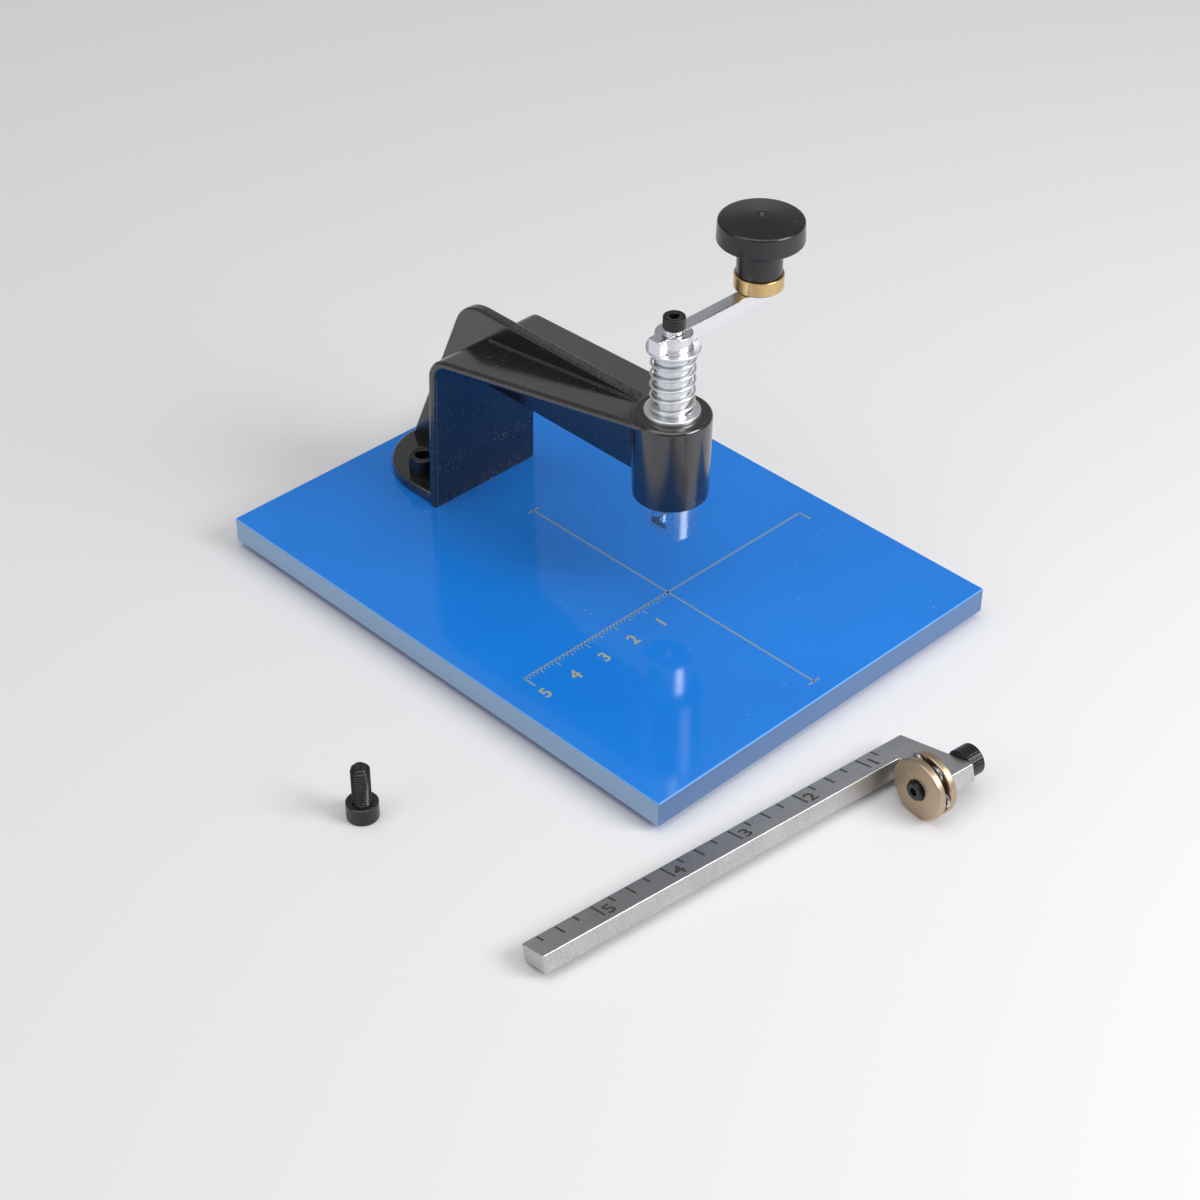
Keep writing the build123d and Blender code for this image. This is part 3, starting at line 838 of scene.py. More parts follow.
@dataclass(frozen=True)
class TurnedMetal(Finish):
    """Metal turned about an axis, with fine circular lines."""

    axis_place: Xyz = (0.0, 0.0, 0.0)
    axis_turn: Xyz = (0.0, 0.0, 0.0)
    depth: float = 0.004
    tarnish: Rgb = (0.3, 0.3, 0.3)
    tarnish_share: float = 0.3
    line_scale: float = 5200.0
    grain_scale: float = 700.0
    scratch_scale: float = 30.0
    scratch_width: float = 0.006
    wear: float = 0.6

    def build(self) -> bpy.types.Material:
        """Turned lines in bump and roughness, a slow tarnish, worn edges and hairline scratches.

        Returns:
            The material.
        """
        made, graph, shader, place = self.blank()
        graph.feed(shader, Metallic=1.0)
        centre = Vector(self.axis_place) * MM
        shifted = graph.mapped(place, -centre, Vector())
        about = graph.mapped(shifted, Vector(), Vector(self.axis_turn))
        lines = graph.effect(Effect.TURNING, about, Scale=self.line_scale)["Height"]
        grain = graph.effect(Effect.GRAIN, place, Scale=self.grain_scale)
        worn = graph.effect(Effect.WEAR, place, Amount=self.wear)["Worn"]
        scratches = graph.effect(
            Effect.SCRATCHES, place, Scale=self.scratch_scale, Width=self.scratch_width
        )["Lines"]
        stain = graph.times(grain["Drift"], self.tarnish_share)
        colour = graph.mix(stain, self.colour, self.tarnish)
        brighter = tuple(min(1.0, channel * 1.15 + 0.04) for channel in self.colour)
        bare = graph.math("MAXIMUM", worn, scratches)
        graph.feed(shader, Base_Color=graph.mix(bare, colour, brighter))
        rough = graph.spread(lines, 0.3, 0.7, self.roughness * 0.8, self.roughness * 1.25)
        graph.feed(shader, Roughness=graph.math("ADD", rough, graph.times(stain, 0.12)))
        self.bump(graph, shader, lines, self.depth)
        return made


@dataclass(frozen=True)
class DrawnMetal(Finish):
    """Metal bar with lines along its run and a cast or ground grain."""

    turn: float = 0.0
    grain: float = 700.0
    grain_depth: float = 0.01
    line_depth: float = 0.006
    shade: Rgb = (0.2, 0.2, 0.2)
    shade_share: float = 0.3
    wear: float = 0.7
    line_scale: float = 22.0

    def build(self) -> bpy.types.Material:
        """Lines and grain in the bump, darker pits and worn edges.

        Returns:
            The material.
        """
        made, graph, shader, place = self.blank()
        graph.feed(shader, Metallic=1.0)
        along = graph.mapped(place, Vector(), Vector((0, 0, -self.turn)))
        lines = graph.effect(Effect.LINES, along, Scale=self.line_scale)["Height"]
        grain = graph.effect(Effect.GRAIN, place, Scale=self.grain)
        worn = graph.effect(Effect.WEAR, place, Amount=self.wear)["Worn"]
        pits = graph.spread(grain["Height"], 0.35, 0.55, self.shade_share, 0.0)
        colour = graph.mix(pits, self.colour, self.shade)
        colour = graph.mix(graph.times(grain["Drift"], self.shade_share * 0.5), colour, self.shade)
        brighter = tuple(min(1.0, channel * 1.2 + 0.05) for channel in self.colour)
        graph.feed(shader, Base_Color=graph.mix(worn, colour, brighter))
        rough = graph.spread(grain["Height"], 0.3, 0.8, self.roughness * 1.2, self.roughness * 0.8)
        graph.feed(shader, Roughness=rough)
        height = graph.math(
            "ADD", graph.times(lines, self.line_depth),
            graph.times(grain["Height"], self.grain_depth),
        )
        self.bump(graph, shader, height, 1.0)
        return made


@dataclass(frozen=True)
class BlueSheet(Finish):
    """Glossy blue plate with paler, sawn and lightly frosted sides; a painted highlight on its
    rounded upper edge, and painted shade on the sides that face along X.
    """

    side_colour: Rgb = (0.3, 0.46, 0.68)
    # Painted shade: the darker colour of the sides that face along X.
    end_colour: Rgb = (0.1, 0.2, 0.42)
    side_roughness: float = 0.42
    # Painted highlight: the brighter blue of the rounded upper edge.
    edge_colour: Rgb = (0.1, 0.36, 0.85)
    grain_scale: float = 300.0
    dust_scale: float = 430.0
    dust: float = 0.12
    dust_width: float = 0.12
    dust_colour: Rgb = (0.5, 0.45, 0.35)
    dust_share: float = 0.3
    scratch_scale: float = 11.0
    scratch_width: float = 0.0016
    scratch_depth: float = 0.002
    saw_scale: float = 14.0
    saw_depth: float = 0.02

    def build(self) -> bpy.types.Material:
        """The upward normal tells the glossy face from the sides and from the rounded edge, which
        gets a painted highlight; sides facing along X get painted shade. Dust and hairlines lie on
        the face.

        Returns:
            The material.
        """
        made, graph, shader, place = self.blank()
        facing = graph.node("SeparateXYZ")
        graph.put(facing.inputs[0], graph.node("NewGeometry").outputs["Normal"])
        face = graph.spread(graph.math("ABSOLUTE", facing.outputs[2]), 0.8, 0.95)
        grain = graph.effect(Effect.GRAIN, place, Scale=self.grain_scale)
        dust = graph.effect(
            Effect.DUST, place, Scale=self.dust_scale, Share=self.dust, Width=self.dust_width
        )["Specks"]
        scratches = graph.effect(
            Effect.SCRATCHES, place, Scale=self.scratch_scale, Width=self.scratch_width
        )["Lines"]
        sawn = graph.effect(Effect.LINES, place, Scale=self.saw_scale)["Height"]
        deeper = tuple(channel * 0.9 for channel in self.colour)
        top = graph.mix(grain["Drift"], self.colour, deeper)
        # Painted shade: sides facing along X are mixed towards a darker blue than those facing
        # along Y.
        x_side_shade_share = graph.math("ABSOLUTE", facing.outputs[0])
        flank = graph.mix(x_side_shade_share, self.side_colour, self.end_colour)
        side = graph.mix(
            graph.spread(sawn, 0.35, 0.65, 0.0, 0.25), flank,
            tuple(channel * 0.4 for channel in self.side_colour),
        )
        # Painted highlight: the rounded upper edge, between the face and the sides, is mixed
        # towards a brighter blue.
        edge = graph.times(
            graph.spread(graph.math("ABSOLUTE", facing.outputs[2]), 0.3, 0.6),
            graph.math("SUBTRACT", 1.0, face),
        )
        colour = graph.mix(edge, graph.mix(face, side, top), self.edge_colour)
        dusty = graph.mix(graph.times(dust, self.dust_share), colour, self.dust_colour)
        graph.feed(shader, Base_Color=dusty)
        polish = graph.spread(face, 0.0, 1.0, self.side_roughness, self.roughness)
        rough = graph.math("ADD", polish, graph.times(graph.math("MAXIMUM", dust, scratches), 0.18))
        graph.feed(shader, Roughness=rough)
        height = graph.times(sawn, graph.spread(face, 0.0, 1.0, self.saw_depth, 0.0))
        scored = graph.math("SUBTRACT", height, graph.times(scratches, self.scratch_depth))
        self.bump(graph, shader, scored, 1.0)
        return made


@dataclass(frozen=True)
class PrintedMark(Finish):
    """Printed or etched mark, thinned out in places."""

    metallic: float = 0.0
    faded: Rgb = (0.1, 0.1, 0.1)
    fade_share: float = 0.5
    grain_scale: float = 1400.0

    def build(self) -> bpy.types.Material:
        """A noise mixes the ink with what shows through it.

        Returns:
            The material.
        """
        made, graph, shader, place = self.blank()
        graph.feed(shader, Metallic=self.metallic)
        grain = graph.effect(Effect.GRAIN, place, Scale=self.grain_scale)
        thin = graph.spread(grain["Height"], 0.35, 0.75, 0.0, self.fade_share)
        graph.feed(shader, Base_Color=graph.mix(thin, self.colour, self.faded))
        graph.feed(
            shader,
            Roughness=graph.spread(
                grain["Height"], 0.2, 0.9, self.roughness * 0.8, self.roughness * 1.2
            ),
        )
        return made


BLUE_FACE: Rgb = (0.012, 0.203, 0.72)
FINISHES: dict[str, Finish] = {
    finish.slot: finish
    for finish in (
        BlueSheet("plate_blue", BLUE_FACE, 0.09),
        MouldedBlack("foot_rubber", (0.09, 0.1, 0.11), 0.6, dust=0.02),
        MouldedBlack(
            "bracket_black", (0.0085, 0.0075, 0.0085), 0.18, depth=0.006, dust=0.22, specular=1.0,
            gloss=0.28,
        ),
        MouldedBlack(
            "screw_black", (0.006, 0.006, 0.007), 0.24, grain=1600.0, depth=0.005, dust=0.02,
            specular=0.5,
        ),
        TurnedMetal("plated_steel", (0.86, 0.87, 0.89), 0.38, tarnish=(0.66, 0.66, 0.66)),
        TurnedMetal(
            "spring_steel", (0.86, 0.87, 0.88), 0.34, tarnish=(0.68, 0.68, 0.68), depth=0.0
        ),
        TurnedMetal("spindle_steel", (0.77, 0.79, 0.8), 0.22, tarnish=(0.66, 0.67, 0.68)),
        DrawnMetal(
            "crank_steel", (0.86, 0.86, 0.9), 0.24, turn=math.pi / 2, grain=3600.0, grain_depth=0.0,
            line_depth=0.003, shade=(0.62, 0.62, 0.65), shade_share=0.15, wear=0.0,
        ),
        MouldedBlack(
            "knob_black", (0.0065, 0.0065, 0.0085), 0.24, grain=1300.0, depth=0.003, dust=0.01,
            specular=0.65, wear=0.0,
        ),
        TurnedMetal(
            "collar_brass", (0.65, 0.46, 0.21), 0.25, axis_place=(0.0, 37.3, 0.0),
            tarnish=(0.45, 0.3, 0.14),
        ),
        DrawnMetal(
            "arm_steel", (0.62, 0.61, 0.61), 0.38, grain=1900.0, grain_depth=0.012,
            shade=(0.22, 0.22, 0.22), shade_share=0.34,
        ),
        TurnedMetal("cutter_steel", (0.6, 0.6, 0.62), 0.2, tarnish=(0.4, 0.4, 0.4)),
        PrintedMark("plate_mark", (0.2, 0.29, 0.38), 0.4, faded=(0.08, 0.22, 0.46), fade_share=0.5),
        PrintedMark(
            "plate_digit", (0.38, 0.37, 0.21), 0.4, faded=(0.1, 0.22, 0.35), fade_share=0.6
        ),
        PrintedMark(
            "arm_mark", (0.05, 0.045, 0.02), 0.5, metallic=0.4, faded=(0.16, 0.15, 0.12),
            fade_share=0.6,
        ),
    )
}


# Screws


@dataclass(frozen=True)
class CapScrew:
    """A socket cap screw: knurled head from z = 0 to its height, shank below."""

    radius: float
    head_radius: float
    head_height: float
    shank: float
    pitch: float
    socket_flats: float
    socket_depth: float
    tip: float = 0.6
    knurls: int = 36
    knurl_depth: float = 0.1
    rim_share: float = 0.09
    chamfer_share: float = 0.14
    thread_share: float = 0.54
    core_share: float = 0.62

    def head(self) -> Shape:
        """The head, with its knurled side and hexagon socket.

        Rings run from the axis under the head, out, up the side, over the rim and down the socket.
        Ring k has radius r_k, less the knurl depth times (1 - cos(n t)) / 2 on the side; in the
        socket it is the hexagon's reach, half the flats over the cosine of the angle from the
        nearest flat's middle.

        Returns:
            The closed head.
        """
        sides = self.knurls * 4
        angle = turn_angles(sides)
        rim, top = self.rim_share * self.head_radius, self.head_height
        corner = self.socket_flats / math.sqrt(3)
        radius = [0, self.head_radius - rim, self.head_radius, self.head_radius, self.head_radius]
        height = [0, 0, rim * 0.7, rim * 1.4, top - rim * 2.2]
        knurl = [0, 0, 0, 1, 1]
        t = np.linspace(0, math.pi / 2, 5)
        radius += list(self.head_radius - rim + rim * np.cos(t))
        height += list(top - rim + rim * np.sin(t))
        knurl += [0.4, 0, 0, 0, 0]
        radius += [corner + self.chamfer_share * self.radius, 0, 0, 0]
        height += [
            top, top - 0.1 * self.radius, top - self.socket_depth, top - self.socket_depth * 1.12
        ]
        knurl += [0, 0, 0, 0]
        hexagon = np.zeros(len(radius))
        hexagon[-3:-1] = 1
        sector = math.pi / 3
        reach = self.socket_flats / 2 / np.cos(np.mod(angle, sector) - sector / 2)
        wave = (1 - np.cos(self.knurls * angle)) / 2 * self.knurl_depth
        r = np.array(radius)[:, None] - np.array(knurl)[:, None] * wave + hexagon[:, None] * reach
        z = np.broadcast_to(np.array(height, float)[:, None], r.shape)
        points = np.stack([r * np.cos(angle), r * np.sin(angle), z], axis=-1)
        return Shape(points.reshape(-1, 3), (grid_quads(len(r), sides),))

    def thread(self) -> Shape:
        """The threaded shank.

        The radius at angle t and height z is the outer radius less the thread's depth times a
        triangle wave of z / pitch - t / turn, pressed flat at the crests; it tapers to the tip.

        Returns:
            The closed shank, from the head down.
        """
        sides, depth = 40, self.thread_share * self.pitch
        count = max(int(self.shank / self.pitch * 8), 8)
        angle = turn_angles(sides)
        z = np.linspace(-self.shank, 0, count)
        phase = np.mod(z[:, None] / self.pitch - angle[None] / (2 * math.pi), 1.0)
        groove = np.clip(1.35 * np.abs(2 * phase - 1) - 0.1, 0, 1)
        outer = np.minimum(self.radius, self.radius - self.tip + (z[:, None] + self.shank))
        r = np.maximum(outer - depth * (1 - groove), self.radius * self.core_share)
        points = np.stack(
            [r * np.cos(angle), r * np.sin(angle), np.broadcast_to(z[:, None], r.shape)], axis=-1
        )
        return capped_tube(points)

    def shape(self) -> Shape:
        """Head and shank together."""
        return Shape.joined([self.head(), self.thread()])


M6 = CapScrew(
    radius=3.0, head_radius=5.0, head_height=6.0, shank=12.4, pitch=1.0, socket_flats=5.0,
    socket_depth=3.0,
)
M4 = CapScrew(
    radius=1.95, head_radius=3.5, head_height=4.0, shank=15.0, pitch=0.7, socket_flats=3.0,
    socket_depth=2.0, tip=0.4, knurls=30, knurl_depth=0.08,
)


# The worktop


@dataclass
class Worktop:
    """The blue plate, its printed lines and digits, and its feet."""

    line_reach: float = 63.5
    line_width: float = 0.8
    end_tick: float = 2.5
    scale_step: float = 12.7
    fine_ticks: int = 8
    numbers: int = 5
    tick_lengths: tuple[float, float, float] = (3.4, 2.4, 1.5)
    tick_width: float = 0.44
    digit_offset: float = 9.6
    digit_height: float = 4.7
    foot_radius: float = 6.0
    foot_inset: float = 9.0
    foot_edge: float = 0.6
    low: Vector = field(default_factory=lambda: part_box("base_plate")[0] / MM)
    high: Vector = field(default_factory=lambda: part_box("base_plate")[1] / MM)

    def bar(self, x: float, y: float, length: float, width: float, along_x: bool) -> Shape:
        """A printed stroke centred on a point of the face."""
        half = np.array([length, width] if along_x else [width, length]) / 2
        return box_between((x - half[0], y - half[1], -PROUD), (x + half[0], y + half[1], PROUD))

    def lines(self) -> list[Shape]:
        """The cross through the axis, its end ticks, and the scale's ticks.

        Returns:
            The strokes.
        """
        reach, width = self.line_reach, self.line_width
        strokes = [self.bar(0, 0, 2 * reach, width, True), self.bar(0, 0, 2 * reach, width, False)]
        for end in (-reach, reach):
            strokes.append(self.bar(end, 0, 2 * self.end_tick, width, False))
            strokes.append(self.bar(self.end_tick, end, 2 * self.end_tick, width, True))
        step = self.scale_step / self.fine_ticks
        full, half, fine = self.tick_lengths
        for index in range(1, self.numbers * self.fine_ticks):
            long = full if index % self.fine_ticks == 0 else half if index % 4 == 0 else fine
            strokes.append(self.bar(long / 2, -index * step, long, self.tick_width, True))
        return strokes

    def feet(self) -> Shape:
        """Four round feet, each a turned profile with rounded edges.

        Returns:
            The feet as one shape.
        """
        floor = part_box("rubber_feet")[0].z / MM
        profile = rounded(
            [
                (0, floor), (self.foot_radius, floor), (self.foot_radius, self.low.z),
                (0, self.low.z)
            ],
            [0, self.foot_edge, 0, 0], closed=False,
        )
        foot = turned(profile, 48)
        inset = self.foot_inset
        rows = (self.low.y + inset, self.high.y - inset)
        places = [(x, y) for x in (self.low.x + inset, self.high.x - inset) for y in rows]
        return Shape.joined([foot.shifted(x, y) for x, y in places])

    def build(self) -> None:
        """Dresses the plate and makes its marks and feet."""
        for node, slot in (("base_plate", "plate_blue"), ("bracket_nuts", "plated_steel")):
            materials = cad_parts[node].data.materials
            materials.clear()
            materials.append(FINISHES[slot].material())
        make_piece("plate_lines", Shape.joined(self.lines()), "plate_mark", "base")
        digits = [
            digit_shape(
                str(number), self.digit_height,
                Vector((self.digit_offset, -number * self.scale_step, 0)),
            )
            for number in range(1, self.numbers + 1)
        ]
        make_piece("plate_digits", Shape.joined(digits), "plate_digit", "base")
        make_piece("feet", self.feet(), "foot_rubber", "base", ["rubber_feet"])


def digit_shape(text: str, height: float, centre: Vector) -> Shape:
    """A digit as a thin plate that reads along Y, from a text made a mesh.

    Args:
        text: what is written.
        height: height of a digit in millimetres.
        centre: the middle of the digit, in millimetres.

    Returns:
        The plate, from a little under the face to a little over it.
    """
    curve = bpy.data.curves.new("digit", "FONT")
    curve.body, curve.resolution_u, curve.offset = text, 3, 0.02
    curve.align_x = curve.align_y = "CENTER"
    writing = linked("digit", curve)
    bpy.context.view_layer.update()
    flat = bpy.data.meshes.new_from_object(
        writing.evaluated_get(bpy.context.evaluated_depsgraph_get())
    )
    work = bmesh.new()
    work.from_mesh(flat)
    bmesh.ops.remove_doubles(work, verts=work.verts, dist=1e-5)
    bmesh.ops.triangulate(work, faces=work.faces)
    rim = [edge for edge in work.edges if len(edge.link_faces) == 1]
    points = np.array([vertex.co[:2] for vertex in work.verts])
    triangles = np.array([[vertex.index for vertex in face.verts] for face in work.faces])
    loops = [loop for edge in rim for loop in edge.link_loops]
    sides = np.array([[loop.vert.index, loop.link_loop_next.vert.index] for loop in loops])
    work.free()
    bpy.data.objects.remove(writing)
    low, high = points.min(0), points.max(0)
    points = (points - (low + high) / 2) * height / (high[1] - low[1])
    right, top = Vector((0, 1, 0)), Vector((-1, 0, 0))
    matrix = Matrix((right, top, right.cross(top))).transposed().to_4x4()
    matrix.translation = centre
    corner = points[triangles]
    first, second = corner[:, 1] - corner[:, 0], corner[:, 2] - corner[:, 0]
    clockwise = first[:, 0] * second[:, 1] - first[:, 1] * second[:, 0] < 0
    triangles[clockwise] = triangles[clockwise][:, ::-1]
    count = len(points)
    solid = np.concatenate([np.column_stack([points, np.full(count, z)]) for z in (-PROUD, PROUD)])
    walls = np.column_stack([sides[:, 0], sides[:, 1], sides[:, 1] + count, sides[:, 0] + count])
    if clockwise.mean() > 0.5:
        walls = walls[:, ::-1]
    return Shape(solid, (triangles[:, ::-1], triangles + count, walls)).placed(matrix)


# The bracket


@dataclass
class Bracket:
    """The black bracket: pad, leaning post, strap, web and boss, its screws and its bush."""

    post_thickness: float = 3.3
    strap_thickness: float = 3.0
    edge: float = 1.15
    outer_bend: float = 8.0
    lean: float = 1.7 / 52.0
    strap_at_axis: float = 70.0
    strap_at_post: float = 59.0
    root_half_width: float = 23.0
    top_half_width: float = 22.4
    tangent_radius: float = 12.4
    strap_sink: float = 1.0
    web_half: float = 2.0
    web_peak: float = 69.5
    web_low: float = 41.7
    web_round: float = 14.0
    web_edge: float = 0.9
    boss_low: float = 39.85
    boss_high: float = 69.8
    boss_radii: tuple[float, float] = (12.15, 12.7)
    boss_bores: tuple[float, float] = (8.45, 7.05)
    bush_seat: float = 59.0
    bush_reach: float = 8.9
    bush_rise: float = 1.4
    rod_bore: float = 5.95
    pad_thickness: float = 4.0
    pad_half_width: float = 22.3
    pad_straight: float = 14.6
    bush_sleeve: float = 7.0
    lug: tuple[float, float] = (-103.5, 13.8)
    low_x: float = field(default_factory=lambda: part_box("bracket")[0].x / MM)

    def places(self) -> dict[str, float]:
        """Places along X: the pad's end and rounding, the post's faces, the web's foot and peak.

        Returns:
            Each place in millimetres, by its name.
        """
        end = self.low_x
        round_x = end + self.pad_half_width
        inner = round_x + self.pad_straight
        return {
            "end": end, "round": round_x, "inner": inner, "outer": inner - self.post_thickness,
            "web_foot": end + 0.5, "web_peak": inner - 7.0,
        }

    def strap_top(self, x: Array | float) -> Array | float:
        """Height of the strap's upper face."""
        slope = (self.strap_at_post - self.strap_at_axis) / self.places()["inner"]
        return self.strap_at_axis + slope * x

    def bent_plate(self) -> Shape:
        """Post and strap as one bent plate with rounded edges.

        A rounded rectangle is carried along the outer line, which goes up the leaning post, round
        the bend and along the strap. Its half width goes from the root's to the top's on the post,
        and then straight to the boss. The last rings end on an ellipse inside the boss's wall.

        Returns:
            The closed plate.
        """
        at = self.places()
        corner_x = at["outer"] + self.lean * self.strap_top(at["outer"])
        line = rounded(
            [(at["outer"], 0.0), (corner_x, self.strap_top(corner_x)), (0.0, self.strap_top(0.0))],
            [0, self.outer_bend, 0], steps=14, closed=False,
        )
        runs = [
            np.linspace(line[0], line[1], 8)[:-1], line[1:-2], np.linspace(line[-2], line[-1], 24)
        ]
        line = np.concatenate(runs)
        tangent = np.gradient(line, axis=0)
        tangent /= np.linalg.norm(tangent, axis=1, keepdims=True)
        inward = np.column_stack([tangent[:, 1], -tangent[:, 0]])
        share = np.clip((line[:, 0] - corner_x) / -corner_x, 0, 1)
        rise = np.clip(line[:, 1] / self.boss_high, 0, 1)
        half = np.where(
            share > 0,
            self.top_half_width + (self.tangent_radius - self.top_half_width) * share,
            self.root_half_width + (self.top_half_width - self.root_half_width) * rise,
        )
        thickness = np.interp(share, [0, 0.08], [self.post_thickness, self.strap_thickness])
        wide, deep = 10.0, 3.0
        pattern = rounded([(-wide, 0.0), (wide, 0.0), (wide, deep), (-wide, deep)], self.edge, 5)
        side, level = pattern[:, 0], pattern[:, 1]
        across = np.sign(side) * (half[:, None] - (wide - np.abs(side)))
        depth = np.where(level > deep / 2, thickness[:, None] - (deep - level), level)
        end = -(self.tangent_radius - 2) * np.sqrt(
            np.clip(1 - (across / (self.tangent_radius + 0.05)) ** 2, 0, 1)
        )
        reach = line[:, :1] + inward[:, :1] * depth
        pulled = np.minimum(reach, end) * (share[:, None] > 0) + reach * (share[:, None] <= 0)
        slope = tangent[:, 1:] / np.maximum(tangent[:, :1], 0.2)
        height = line[:, 1:] + inward[:, 1:] * depth + (pulled - reach) * slope
        height = np.minimum(
            height, self.boss_high - self.strap_sink - (height.max() - height) * 0.001
        )
        rings = np.stack([pulled, across, height], axis=-1)
        return capped_tube(rings[:, ::-1])

    def web(self) -> Shape:
        """The upright web, a plate in the XZ plane with rounded edges.

        Returns:
            The web.
        """
        at = self.places()
        middle = at["inner"] - self.post_thickness / 2
        outline = rounded(
            [
                (at["web_foot"], 2.0), (middle, 2.0),
                (middle + self.lean * self.web_low, self.web_low),
                (-self.tangent_radius + 2, self.web_low), (-self.tangent_radius + 2, self.web_peak),
                (at["web_peak"], self.web_peak),
            ],
            [0, 0, 0, 0, 0, self.web_round], steps=14,
        )
        return slab(outline, -self.web_half, self.web_half, self.web_edge).placed(UPRIGHT)

    def web_fillets(self) -> Shape:
        """Hollow roundings where the web stands on the strap, one on each side.

        The section's hollow side is a quarter circle, carried along the strap's upper face.

        Returns:
            Both strips.
        """
        at, radius = self.places(), self.web_edge
        x = np.linspace(at["inner"] + 6.0, -self.tangent_radius + 1, 20)
        t = np.linspace(0, math.pi / 2, 6)
        hollow = np.column_stack([radius * (1 - np.sin(t)), radius * (1 - np.cos(t))])
        section = np.concatenate([[(-0.5, -0.5)], [(radius, -0.3)], hollow, [(-0.5, radius)]])
        side, up = (np.broadcast_to(way, (len(x), 3)) for way in ([0.0, 1.0, 0.0], [0.0, 0.0, 1.0]))
        strips = []
        for flip in (1, -1):
            origins = np.column_stack([x, np.full(len(x), flip * self.web_half), self.strap_top(x)])
            strips.append(carried(section[::flip] * np.array([flip, 1]), origins, side, up))
        return Shape.joined(strips)

    def pad(self) -> Shape:
        """The foot pad, a D with its round end away from the post.

        Returns:
            The pad.
        """
        at = self.places()
        t = np.linspace(math.pi / 2, 3 * math.pi / 2, 40)
        arc = np.column_stack(
            [at["round"] + self.pad_half_width * np.cos(t), self.pad_half_width * np.sin(t)]
        )
        straight = np.array(
            [(at["inner"] - 0.6, -self.pad_half_width), (at["inner"] - 0.6, self.pad_half_width)]
        )
        return slab(np.concatenate([arc, straight]), 0.0, self.pad_thickness, 0.7)

    def boss(self) -> Shape:
        """The boss: a slightly tapered ring with rounded rims and a stepped bore.

        Returns:
            The boss.
        """
        (low_radius, high_radius), (wide, narrow) = self.boss_radii, self.boss_bores
        return turned_ring(
            [
                (wide, self.boss_low), (low_radius, self.boss_low), (high_radius, self.boss_high),
                (narrow, self.boss_high), (narrow, self.bush_seat), (wide, self.bush_seat),
            ],
            [0.3, 0.8, 1.3, 0.2, 0, 0], 7, 128,
        )

    def bush(self) -> Shape:
        """The flanged bush under the spring.

        Returns:
            The bush.
        """
        top = self.boss_high + self.bush_rise
        return turned_ring(
            [
                (self.rod_bore, self.bush_seat), (self.bush_sleeve, self.bush_seat),
                (self.bush_sleeve, self.boss_high),
                (self.bush_reach, self.boss_high), (self.bush_reach, top), (self.rod_bore, top),
            ],
            [0, 0, 0, 0.2, 0.45, 0.15], 4,
        )

    def build(self) -> None:
        """Makes the casting, its two screws and its bush."""
        casting = Shape.joined(
            [self.bent_plate(), self.web(), self.web_fillets(), self.pad(), self.boss()]
        )
        make_piece("bracket_casting", casting, "bracket_black", "base", ["bracket"], even=True)
        make_piece("bush", self.bush(), "plated_steel", "base", ["boss_bush"], even=True)
        x, y = self.lug
        screws = Shape.joined([M6.shape().shifted(x, side, self.pad_thickness) for side in (-y, y)])
        make_piece("pad_screws", screws, "screw_black", "base", ["bracket_screws"], even=True)


# The spindle and its spring


